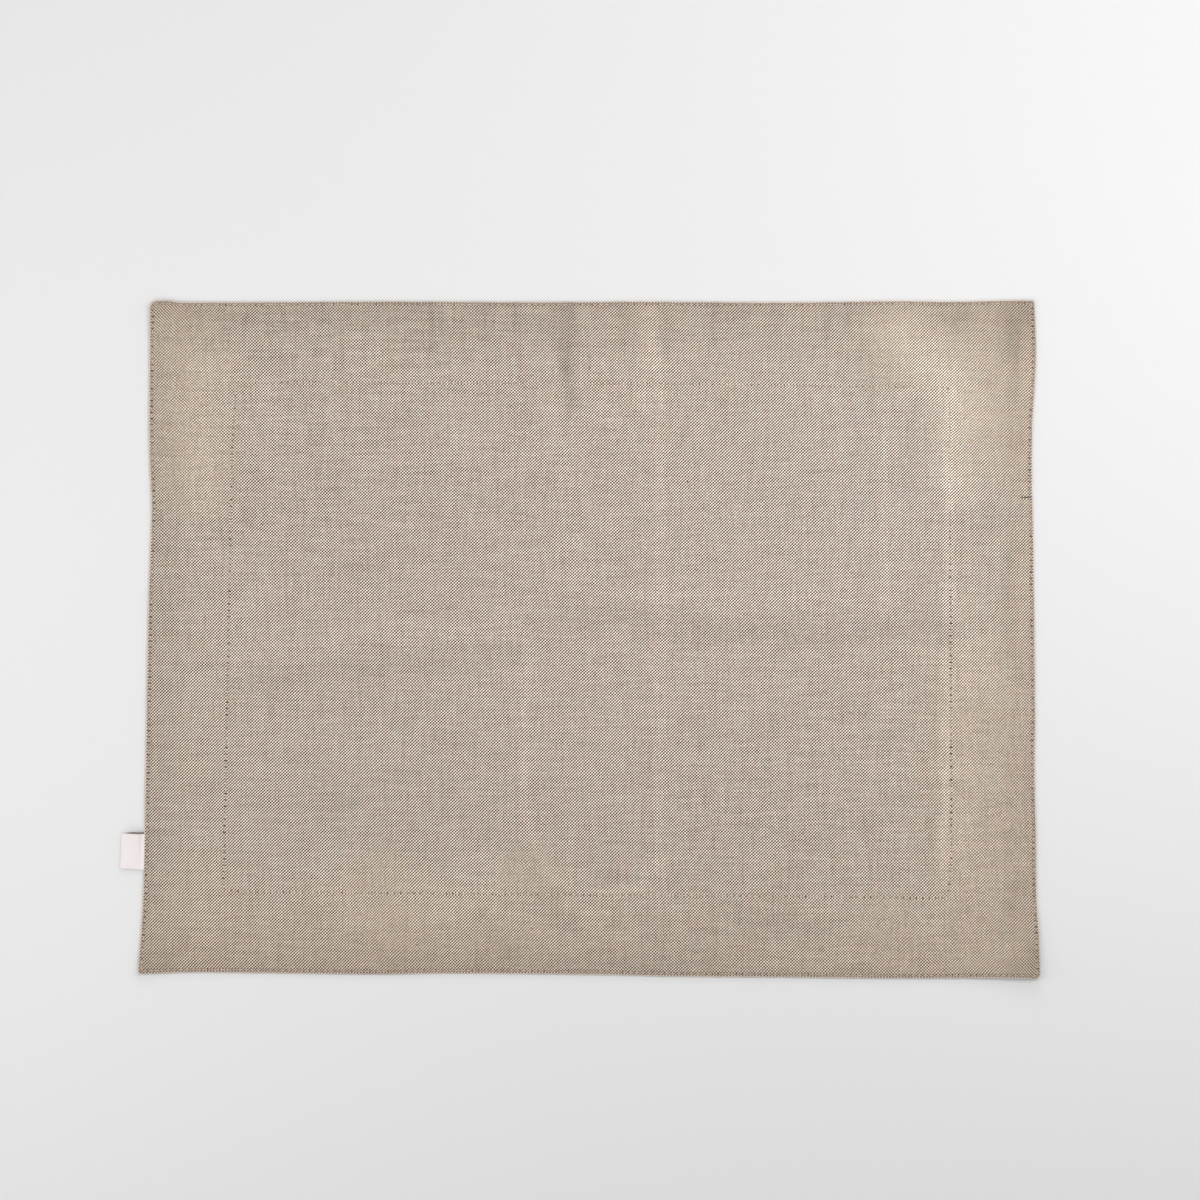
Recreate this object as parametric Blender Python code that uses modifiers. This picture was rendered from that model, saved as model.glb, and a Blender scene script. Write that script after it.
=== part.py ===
"""A cloth placemat with a sewn edge and a small folded label, lying flat on a table.

Metres, +Z up. The origin is the middle of the mat's underside, on the table. +X runs
along the long side, away from the label, and +Y across the mat to its far long side.

The mat is one sheet: two plies turned in and sewn together round the edge, so it is
thin at the stitched edge and swells a little inside it. Its far side is shorter than
its near side, each side waves in and out by a millimetre or two, and soft folds cross
it. The label is a strip of tape folded over at its outer end, whose two ends meet the
seam in the left side.
"""

import math
from typing import NamedTuple

import bmesh
import bpy
from mathutils import Vector


class Corner(NamedTuple):
    """A corner of the mat, against the corner of the nominal rectangle."""

    pull_x: float  # how far it stands from the rectangle's corner, along X
    pull_y: float  # the same, along Y
    radius: float  # of the turned corner, seen from above
    lift: float  # how far it stands off the table
    reach: float  # how far from the corner that lift has died away


class EdgePoint(NamedTuple):
    """One place along a side of the mat."""

    share: float  # of the way along the side
    inset: float  # how far the cloth draws in from the straight line there


class Fold(NamedTuple):
    """A soft ridge in the upper ply, between two places on the mat."""

    start_x: float
    start_y: float
    end_x: float
    end_y: float
    height: float  # at its crest
    reach: float  # from the crest out to where the cloth is level again


# The mat, as sold: a rectangle of this length and width.
LENGTH = 0.500
WIDTH = 0.380

EDGE_THICKNESS = 0.0015  # two plies and their turnings, sewn down
BODY_THICKNESS = 0.0023  # the same cloth, lying loose inside the stitching
SWELL = 0.016  # distance in from the edge over which it swells
RIM_ROUND = 0.0005  # rounding of the folded rim
GRID = 0.008  # spacing of the mesh that carries the folds

CORNERS = {
    "far_left": Corner(pull_x=0.0040, pull_y=-0.0005, radius=0.0032, lift=0.0012, reach=0.040),
    "far_right": Corner(pull_x=-0.0004, pull_y=-0.0001, radius=0.0016, lift=0.0005, reach=0.030),
    "near_right": Corner(pull_x=0.0027, pull_y=-0.0004, radius=0.0032, lift=0.0032, reach=0.062),
    "near_left": Corner(pull_x=-0.0024, pull_y=0.0022, radius=0.0014, lift=0.0012, reach=0.034),
}

# Each side runs from left to right, or from the far side to the near side.
FAR_SIDE = (
    EdgePoint(share=0.00, inset=0.0000),
    EdgePoint(share=0.02, inset=-0.0002),
    EdgePoint(share=0.05, inset=0.0006),
    EdgePoint(share=0.12, inset=0.0005),
    EdgePoint(share=0.28, inset=0.0002),
    EdgePoint(share=0.44, inset=0.0007),
    EdgePoint(share=0.55, inset=0.0004),
    EdgePoint(share=0.72, inset=0.0009),
    EdgePoint(share=0.84, inset=0.0002),
    EdgePoint(share=0.91, inset=0.0005),
    EdgePoint(share=0.97, inset=-0.0001),
    EdgePoint(share=1.00, inset=0.0000),
)
NEAR_SIDE = (
    EdgePoint(share=0.00, inset=0.0000),
    EdgePoint(share=0.05, inset=0.0010),
    EdgePoint(share=0.13, inset=0.0010),
    EdgePoint(share=0.27, inset=0.0005),
    EdgePoint(share=0.34, inset=0.0013),
    EdgePoint(share=0.52, inset=0.0009),
    EdgePoint(share=0.59, inset=0.0003),
    EdgePoint(share=0.72, inset=0.0000),
    EdgePoint(share=0.85, inset=-0.0003),
    EdgePoint(share=0.96, inset=0.0003),
    EdgePoint(share=1.00, inset=0.0000),
)
LEFT_SIDE = (
    EdgePoint(share=0.00, inset=0.0000),
    EdgePoint(share=0.17, inset=0.0005),
    EdgePoint(share=0.24, inset=0.0013),
    EdgePoint(share=0.31, inset=0.0027),
    EdgePoint(share=0.46, inset=0.0019),
    EdgePoint(share=0.86, inset=0.0018),
    EdgePoint(share=0.94, inset=0.0009),
    EdgePoint(share=0.98, inset=0.0000),
    EdgePoint(share=1.00, inset=0.0000),
)
RIGHT_SIDE = (
    EdgePoint(share=0.00, inset=0.0000),
    EdgePoint(share=0.08, inset=-0.0009),
    EdgePoint(share=0.19, inset=0.0015),
    EdgePoint(share=0.27, inset=0.0019),
    EdgePoint(share=0.36, inset=0.0015),
    EdgePoint(share=0.60, inset=0.0012),
    EdgePoint(share=0.70, inset=0.0018),
    EdgePoint(share=0.79, inset=0.0013),
    EdgePoint(share=0.88, inset=0.0013),
    EdgePoint(share=0.94, inset=0.0002),
    EdgePoint(share=1.00, inset=0.0000),
)

FOLDS = {
    "cross_fold_left": Fold(-0.193, -0.014, -0.036, 0.000, height=0.0008, reach=0.018),
    "cross_fold_right": Fold(0.004, 0.022, 0.196, 0.013, height=0.0009, reach=0.018),
    "length_fold": Fold(0.040, 0.184, 0.040, -0.130, height=0.0005, reach=0.012),
    "right_hem_far": Fold(0.198, 0.140, 0.202, 0.020, height=0.0012, reach=0.020),
    "right_hem_near": Fold(0.202, 0.020, 0.203, -0.125, height=0.0007, reach=0.016),
    "far_right_swell": Fold(0.168, 0.164, 0.204, 0.120, height=0.0020, reach=0.036),
    "far_pucker_left": Fold(-0.028, 0.186, -0.026, 0.142, height=0.0009, reach=0.014),
    "far_pucker_right": Fold(0.030, 0.186, 0.031, 0.130, height=0.0010, reach=0.016),
    "press_mark_left": Fold(-0.036, 0.000, -0.036, -0.105, height=0.0005, reach=0.012),
    "press_mark_near": Fold(-0.024, -0.136, 0.026, -0.138, height=0.0004, reach=0.012),
    "press_mark_right": Fold(0.166, 0.125, 0.166, 0.015, height=0.0004, reach=0.012),
}

# The label, folded over at its outer end and caught in the left side.
LABEL_WIDTH = 0.0199  # along the side of the mat
LABEL_REACH = 0.0122  # out from the side
LABEL_PLACE = 0.818  # of the way along the left side, to the label's middle
LABEL_TURN = math.radians(-2.6)  # seen from above, against the long side
LABEL_GAP = 0.0006  # at its middle, so that its turned end clears the side
TAPE_THICKNESS = 0.0005
TAPE_HEIGHT = 0.0010  # of the middle between the two layers, over the table
LAYER_RISE_AT_SEAM = 0.00043  # of each layer's middle from that height
LAYER_RISE_AT_FOLD = 0.00056  # which is also the radius of the fold
LABEL_COLUMNS = 4
LABEL_ROWS = 24
FOLD_SHARE = 0.4  # of the rows, taken up by the round of the fold

CLOTH_COLOUR = (0.462, 0.386, 0.323, 1.0)
TAPE_COLOUR = (0.871, 0.791, 0.791, 1.0)


def smooth_through(points, share):
    """The inset at a share of a side: a cubic curve through its points."""
    for index in range(len(points) - 1):
        if share <= points[index + 1].share:
            break
    before = points[max(index - 1, 0)]
    start, end = points[index], points[index + 1]
    after = points[min(index + 2, len(points) - 1)]
    span = end.share - start.share
    slope_start = (end.inset - before.inset) / (end.share - before.share) * span
    slope_end = (after.inset - start.inset) / (after.share - start.share) * span
    t = (share - start.share) / span
    return (
        start.inset * (2 * t**3 - 3 * t**2 + 1)
        + slope_start * (t**3 - 2 * t**2 + t)
        + end.inset * (3 * t**2 - 2 * t**3)
        + slope_end * (t**3 - t**2)
    )


def corner_point(name):
    """Where a corner of the mat lies, seen from above."""
    corner = CORNERS[name]
    x = LENGTH / 2 if name.endswith("right") else -LENGTH / 2
    y = WIDTH / 2 if name.startswith("far") else -WIDTH / 2
    return Vector((x + corner.pull_x, y + corner.pull_y))


def side_point(first, last, points, inward, share):
    """A point of the side between two corners, drawn inward by its inset there."""
    straight = corner_point(first).lerp(corner_point(last), share)
    return straight + Vector(inward) * smooth_through(points, share)


def far_side(share):
    return side_point("far_left", "far_right", FAR_SIDE, (0, -1), share)


def near_side(share):
    return side_point("near_left", "near_right", NEAR_SIDE, (0, 1), share)


def left_side(share):
    return side_point("far_left", "near_left", LEFT_SIDE, (1, 0), share)


def right_side(share):
    return side_point("far_right", "near_right", RIGHT_SIDE, (-1, 0), share)


def plan_point(along, down):
    """A point of the mat's plan: the four sides blended over shares of its length
    (from the left) and of its width (from the far side)."""
    between_long_sides = far_side(along).lerp(near_side(along), down)
    between_short_sides = left_side(down).lerp(right_side(down), along)
    far = corner_point("far_left").lerp(corner_point("far_right"), along)
    near = corner_point("near_left").lerp(corner_point("near_right"), along)
    return between_long_sides + between_short_sides - far.lerp(near, down)


def bump(distance, reach):
    """1 at no distance, falling as a raised cosine to 0 at the reach."""
    return 0.5 + 0.5 * math.cos(math.pi * min(distance / reach, 1))


def distance_to_fold(point, fold):
    """From a point of the plan to the nearest point of the fold's crest."""
    start = Vector((fold.start_x, fold.start_y))
    crest = Vector((fold.end_x, fold.end_y)) - start
    share = min(max((point - start).dot(crest) / crest.length_squared, 0), 1)
    return (point - start - crest * share).length


def swelling(along, down):
    """0 at the stitched edge, rising to 1 one SWELL inside it."""
    full = 1
    for share, side in ((along, LENGTH), (1 - along, LENGTH), (down, WIDTH), (1 - down, WIDTH)):
        full *= 1 - bump(share * side, SWELL)
    return full


def underside_height(point):
    """How far the sheet stands off the table: only near its lifted corners."""
    return sum(
        corner.lift * max(1 - (point - corner_point(name)).length / corner.reach, 0) ** 2
        for name, corner in CORNERS.items()
    )


def thickness_at(point, along, down):
    """Edge thickness, plus the swelling inside the stitching, plus the folds."""
    swell = (BODY_THICKNESS - EDGE_THICKNESS) * swelling(along, down)
    folds = sum(
        fold.height * bump(distance_to_fold(point, fold), fold.reach) for fold in FOLDS.values()
    )
    return EDGE_THICKNESS + swell + folds


def cloth_material(name, colour, roughness):
    material = bpy.data.materials.new(name)
    material.use_nodes = True
    shader = material.node_tree.nodes["Principled BSDF"]
    shader.inputs["Base Color"].default_value = colour
    shader.inputs["Roughness"].default_value = roughness
    shader.inputs["Metallic"].default_value = 0
    return material


def new_object(name, mesh_data, collection, material):
    mesh = bpy.data.meshes.new(name)
    mesh_data.to_mesh(mesh)
    mesh_data.free()
    mesh.materials.append(material)
    mesh.shade_smooth()
    made = bpy.data.objects.new(name, mesh)
    collection.objects.link(made)
    return made


def turn_corners(mesh_data, corner_edges):
    """Rounds each upright corner edge of the slab to its corner's radius."""
    for name, edge in corner_edges.items():
        bmesh.ops.bevel(
            mesh_data,
            geom=[edge],
            offset=CORNERS[name].radius,
            offset_type="OFFSET",
            segments=4,
            profile=0.5,
            affect="EDGES",
        )


def build_mat(collection):
    """A grid laid over the plan, extruded up into the sheet's thickness."""
    mesh_data = bmesh.new()
    bmesh.ops.create_grid(
        mesh_data,
        x_segments=round(LENGTH / GRID),
        y_segments=round(WIDTH / GRID),
        size=0.5,
    )
    shares = {vertex: (vertex.co.x + 0.5, 0.5 - vertex.co.y) for vertex in mesh_data.verts}
    raised = bmesh.ops.extrude_face_region(mesh_data, geom=mesh_data.faces[:])["geom"]
    upper = [item for item in raised if isinstance(item, bmesh.types.BMVert)]
    upper_shares = {vertex: (vertex.co.x + 0.5, 0.5 - vertex.co.y) for vertex in upper}

    for vertex, (along, down) in shares.items():
        point = plan_point(along, down)
        vertex.co = (*point, underside_height(point))
    for vertex, (along, down) in upper_shares.items():
        point = plan_point(along, down)
        height = underside_height(point) + thickness_at(point, along, down)
        vertex.co = (*point, height)
    bmesh.ops.recalc_face_normals(mesh_data, faces=mesh_data.faces[:])

    names = {(0, 0): "far_left", (1, 0): "far_right", (0, 1): "near_left", (1, 1): "near_right"}
    corner_edges = {}
    for vertex, (along, down) in upper_shares.items():
        name = names.get((round(along, 4), round(down, 4)))
        if name:
            corner_edges[name] = next(
                edge for edge in vertex.link_edges if edge.other_vert(vertex) in shares
            )
    turn_corners(mesh_data, corner_edges)

    material = cloth_material("mat_cloth", CLOTH_COLOUR, roughness=0.9)
    mat = new_object("mat", mesh_data, collection, material)
    rim = mat.modifiers.new("folded rim", "BEVEL")
    rim.width = RIM_ROUND
    rim.segments = 2
    rim.limit_method = "ANGLE"
    rim.angle_limit = math.radians(60)
    return mat


def tape_point(share):
    """The label's section: distance out from the seam and height over the table, for
    a share of the way out along the lower layer, round the fold and back."""
    straight = LABEL_REACH - LAYER_RISE_AT_FOLD - TAPE_THICKNESS / 2
    half_layer = (1 - FOLD_SHARE) / 2
    if half_layer < share < 1 - half_layer:
        angle = math.pi * ((share - half_layer) / FOLD_SHARE - 0.5)
        out = straight + LAYER_RISE_AT_FOLD * math.cos(angle)
        return out, TAPE_HEIGHT + LAYER_RISE_AT_FOLD * math.sin(angle)
    along_layer = min(share, 1 - share) / half_layer
    rise = LAYER_RISE_AT_SEAM + (LAYER_RISE_AT_FOLD - LAYER_RISE_AT_SEAM) * along_layer
    side = -1 if share < 0.5 else 1
    return straight * along_layer, TAPE_HEIGHT + side * rise


def build_label(collection):
    """A strip bent along the label's section, thickened to the tape and turned to the
    side that it is sewn in."""
    mesh_data = bmesh.new()
    bmesh.ops.create_grid(
        mesh_data, x_segments=LABEL_ROWS, y_segments=LABEL_COLUMNS, size=0.5
    )
    for vertex in mesh_data.verts:
        out, height = tape_point(vertex.co.x + 0.5)
        vertex.co = (-out, vertex.co.y * LABEL_WIDTH, height)

    material = cloth_material("label_tape", TAPE_COLOUR, roughness=0.7)
    label = new_object("label", mesh_data, collection, material)
    tape = label.modifiers.new("tape thickness", "SOLIDIFY")
    tape.thickness = TAPE_THICKNESS
    tape.offset = 0
    tape.use_even_offset = True
    seam = left_side(LABEL_PLACE)
    label.location = (seam.x - LABEL_GAP, seam.y, 0)
    label.rotation_euler = (0, 0, LABEL_TURN)
    return label


def main():
    for old in list(bpy.data.objects):
        bpy.data.objects.remove(old)
    placemat = bpy.data.collections.new("placemat")
    bpy.context.scene.collection.children.link(placemat)
    build_mat(placemat)
    build_label(placemat)


main()
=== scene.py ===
"""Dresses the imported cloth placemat: its two-tone plain weave, its sewing and its label.

Everything is in metres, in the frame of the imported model: the origin is the middle of
the mat's underside, on the table, +X runs along the long side away from the label, +Y
across the mat to its far long side, and +Z up.
"""

import logging
import math
from collections.abc import Callable
from dataclasses import dataclass, field
from enum import Enum

import bpy
import numpy as np
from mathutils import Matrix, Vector


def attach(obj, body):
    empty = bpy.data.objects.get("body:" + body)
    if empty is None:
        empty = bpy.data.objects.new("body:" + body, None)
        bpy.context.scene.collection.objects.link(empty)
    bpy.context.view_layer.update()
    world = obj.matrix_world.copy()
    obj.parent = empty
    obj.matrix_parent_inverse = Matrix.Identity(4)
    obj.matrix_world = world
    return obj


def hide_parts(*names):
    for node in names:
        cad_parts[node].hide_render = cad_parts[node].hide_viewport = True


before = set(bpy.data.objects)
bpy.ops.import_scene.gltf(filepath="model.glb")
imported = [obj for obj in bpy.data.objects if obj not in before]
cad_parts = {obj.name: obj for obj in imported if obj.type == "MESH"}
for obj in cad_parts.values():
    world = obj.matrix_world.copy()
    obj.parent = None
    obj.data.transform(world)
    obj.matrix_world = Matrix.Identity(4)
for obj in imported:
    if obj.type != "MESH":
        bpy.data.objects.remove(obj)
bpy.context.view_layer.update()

Array = np.ndarray
Pair = tuple[float, float]
Triple = tuple[float, float, float]
Colour = Triple

MM = 0.001
BODY = "root"
BAKE_MAP = "OFBake"  # the name of each piece's own flat layout
log = logging.getLogger("placemat")


# ---------------------------------------------------------------- numbers on grids


def bump(distance: Array, reach: float | Array) -> Array:
    """1 at no distance, falling as a raised cosine to 0 at the reach."""
    return 0.5 + 0.5 * np.cos(np.pi * np.clip(distance / reach, 0, 1))


def smooth_step(low: float, high: float, value: Array) -> Array:
    """0 below low, 1 above high, and t^2 (3 - 2t) between them."""
    share = np.clip((value - low) / (high - low), 0, 1)
    return share * share * (3 - 2 * share)


def curve_through(points: Array, share: Array) -> Array:
    """Carries a smooth curve through a table of points.

    Between two points it is the cubic with their values and with slopes taken from the
    points on either side of each.

    Args:
        points: rows of share and value, the shares rising.
        share: where to read the curve.

    Returns:
        The curve's value at each share.
    """
    at, value = points.T
    last = len(at) - 1
    index = np.clip(np.searchsorted(at, share, side="right") - 1, 0, last - 1)
    before, after = np.maximum(index - 1, 0), np.minimum(index + 2, last)
    span = at[index + 1] - at[index]
    slope_start = (value[index + 1] - value[before]) / (at[index + 1] - at[before]) * span
    slope_end = (value[after] - value[index]) / (at[after] - at[index]) * span
    t = (share - at[index]) / span
    return (
        value[index] * (2 * t**3 - 3 * t**2 + 1)
        + slope_start * (t**3 - 2 * t**2 + t)
        + value[index + 1] * (3 * t**2 - 2 * t**3)
        + slope_end * (t**3 - t**2)
    )


def spaced_lines(length: float, spacing: Callable[[Array], Array]) -> Array:
    """Places grid lines along a length, close together where the spacing is small.

    The number of lines up to a place is the integral of 1 / spacing, so the lines lie
    where that integral is a whole number of equal steps.

    Args:
        length: from the first line to the last.
        spacing: the wanted distance between lines at each place.

    Returns:
        The places of the lines, from 0 to the length.
    """
    fine = np.linspace(0, length, 20001)
    density = 1 / spacing(fine)
    counted = np.concatenate([[0], np.cumsum((density[1:] + density[:-1]) / 2 * np.diff(fine))])
    return np.interp(np.linspace(0, counted[-1], round(counted[-1]) + 1), counted, fine)


def distance_to_line(points: Array, line: Array) -> Array:
    """The distance from points of the plan to the nearest place on a line of straight runs."""
    nearest = np.full(points.shape[:-1], np.inf)
    for start, end in zip(line[:-1], line[1:], strict=True):
        run = end - start
        share = np.clip(((points - start) @ run) / (run @ run), 0, 1)
        nearest = np.minimum(nearest, np.linalg.norm(points - start - share[..., None] * run, axis=-1))
    return nearest


# ---------------------------------------------------------------- meshes


def new_mesh(name: str, points: Array, faces: list[Array]) -> bpy.types.Object:
    """Makes a smooth-shaded object of the scene from arrays.

    Args:
        name: of the piece and its mesh.
        points: (n, 3) places of the vertices.
        faces: arrays of vertex numbers, each array holding faces with one number of sides.

    Returns:
        The object, at the origin.
    """
    sides = np.concatenate([np.full(len(group), group.shape[1]) for group in faces])
    corners = np.concatenate([group.ravel() for group in faces])
    mesh = bpy.data.meshes.new(name)
    mesh.vertices.add(len(points))
    mesh.vertices.foreach_set("co", points.astype(np.float32).ravel())
    mesh.loops.add(len(corners))
    mesh.loops.foreach_set("vertex_index", corners.astype(np.int32))
    mesh.polygons.add(len(sides))
    starts = np.concatenate([[0], np.cumsum(sides)[:-1]]).astype(np.int32)
    mesh.polygons.foreach_set("loop_start", starts)
    mesh.update(calc_edges=True)
    mesh.validate()
    mesh.shade_smooth()
    made = bpy.data.objects.new(name, mesh)
    bpy.context.scene.collection.objects.link(made)
    return made


def grid_faces(rows: int, columns: int) -> Array:
    """The four-sided faces of a grid of vertices numbered row by row, counter-clockwise
    where the rows run towards the eye and the columns to the right."""
    first = (np.arange(rows - 1)[:, None] * columns + np.arange(columns - 1)).ravel()
    return np.stack([first, first + columns, first + columns + 1, first + 1], axis=1)


def closed_sheet(name: str, upper: Array, lower: Array) -> tuple[bpy.types.Object, Array]:
    """Closes two grids that share their border into one sheet.

    Args:
        name: of the piece.
        upper: (rows, columns, 3) grid of the side whose faces are counter-clockwise.
        lower: the other side, equal to the upper one all round its border.

    Returns:
        The object, and for each of its vertices the number of its grid point: points of
        the upper grid first, then those of the lower grid's inside.
    """
    rows, columns = upper.shape[:2]
    number = np.arange(rows * columns).reshape(rows, columns)
    inside = number[1:-1, 1:-1]
    below = number.copy()
    below[1:-1, 1:-1] = rows * columns + np.arange(inside.size).reshape(inside.shape)
    faces = grid_faces(rows, columns)
    points = np.concatenate([upper.reshape(-1, 3), lower[1:-1, 1:-1].reshape(-1, 3)])
    made = new_mesh(name, points, [faces, below.ravel()[faces][:, ::-1]])
    return made, np.concatenate([number.ravel(), inside.ravel()])


def rings_about(
    line: Array, height: Array, across: Array, girth: Array, section: Pair, sides: int
) -> Array:
    """Draws rings round lines of thread.

    Args:
        line: (threads, rings, 2) places of the plan.
        height: (threads, rings), over the table.
        across: level directions across each line.
        girth: (threads, rings) size of each ring.
        section: half the width and half the height of a ring of size 1.
        sides: of each ring.

    Returns:
        (threads, rings, sides, 3) points.
    """
    angle = np.arange(sides) / sides * 2 * np.pi
    size = girth[..., None]
    points = np.empty((*line.shape[:2], sides, 3))
    points[..., :2] = line[:, :, None] + across[:, :, None] * (
        size * (np.cos(angle) * section[0])
    )[..., None]
    points[..., 2] = height[..., None] + size * (np.sin(angle) * section[1])
    return points


def closed_tubes(name: str, points: Array, along: Array, own: Array) -> bpy.types.Object:
    """Joins short tubes with closed ends into one piece of thread.

    Its material reads, at each point, the length along the thread, the share of a turn
    round it, and a number of the thread's own.

    Args:
        name: of the piece.
        points: (tubes, rings, sides, 3) places, each ring going round to the left of the
            tube's run and then up.
        along: (tubes, rings), or what broadcasts to it.
        own: (tubes,) numbers.

    Returns:
        The piece.
    """
    count, rings, sides = points.shape[:3]
    first = (np.arange(count) * rings * sides)[:, None, None]
    ring = first + (np.arange(rings - 1) * sides)[:, None]
    here, after = np.arange(sides), (np.arange(sides) + 1) % sides
    walls = np.stack([ring + here, ring + after, ring + sides + after, ring + sides + here], -1)
    caps = [first[:, 0] + here[::-1], first[:, 0] + (rings - 1) * sides + here]
    made = new_mesh(name, points.reshape(-1, 3), [walls.reshape(-1, 4), *caps])
    strand = np.empty(points.shape)
    strand[..., 0], strand[..., 1], strand[..., 2] = along[..., None], here / sides, own[:, None, None]
    store_vectors(made, "strand", strand)
    return made


def store_vectors(piece: bpy.types.Object, name: str, values: Array) -> None:
    """Keeps three numbers with each vertex, for the material to read by name."""
    attribute = piece.data.attributes.new(name, "FLOAT_VECTOR", "POINT")
    attribute.data.foreach_set("vector", values.astype(np.float32).ravel())


def store_layout(piece: bpy.types.Object, flat: Array) -> None:
    """Gives each corner of the mesh its vertex's place in a flat layout, kept as a UV map."""
    layer = piece.data.uv_layers.new(name=BAKE_MAP)
    vertex = np.empty(len(piece.data.loops), np.int32)
    piece.data.loops.foreach_get("vertex_index", vertex)
    layer.uv.foreach_set("vector", flat[vertex].astype(np.float32).ravel())


# ---------------------------------------------------------------- shader expressions


class Socket:
    """A shader value that Python's operators work on, adding a Math node for each."""

    def __init__(self, nodes: "Nodes", output: bpy.types.NodeSocket) -> None:
        """Wraps the output of a node."""
        self.nodes = nodes
        self.output = output

    def _math(self, operation: str, *values: "Socket | float") -> "Socket":
        """A Math node on this value and others."""
        return self.nodes.math(operation, self, *values)

    def __add__(self, other: "Socket | float") -> "Socket":
        """This plus the other."""
        return self._math("ADD", other)

    __radd__ = __add__

    def __sub__(self, other: "Socket | float") -> "Socket":
        """This minus the other."""
        return self._math("SUBTRACT", other)

    def __rsub__(self, other: "Socket | float") -> "Socket":
        """The other minus this."""
        return self.nodes.math("SUBTRACT", other, self)

    def __mul__(self, other: "Socket | float") -> "Socket":
        """This times the other."""
        return self._math("MULTIPLY", other)

    __rmul__ = __mul__

    def __truediv__(self, other: "Socket | float") -> "Socket":
        """This divided by the other."""
        return self._math("DIVIDE", other)

    def __abs__(self) -> "Socket":
        """This without its sign."""
        return self._math("ABSOLUTE")

    def cos(self) -> "Socket":
        """Its cosine."""
        return self._math("COSINE")

    def floor(self) -> "Socket":
        """The whole number at or below it."""
        return self._math("FLOOR")

    def fraction(self) -> "Socket":
        """What it has over that whole number."""
        return self._math("FRACT")

    def root(self) -> "Socket":
        """Its square root."""
        return self._math("SQRT")

    def at_least(self, other: "Socket | float") -> "Socket":
        """The larger of this and the other."""
        return self._math("MAXIMUM", other)

    def rise(self, low: float, high: float, start: float = 0.0, end: float = 1.0) -> "Socket":
        """Goes smoothly from start to end as this value goes from low to high."""
        return self.nodes.value(
            "Result",
            "ShaderNodeMapRange",
            {"interpolation_type": "SMOOTHSTEP"},
            {"Value": self, "From Min": low, "From Max": high, "To Min": start, "To Max": end},
        )

    def fall(self, low: float, high: float) -> "Socket":
        """Goes smoothly from 1 to 0 as this value goes from low to high."""
        return self.rise(low, high, 1.0, 0.0)


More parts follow.
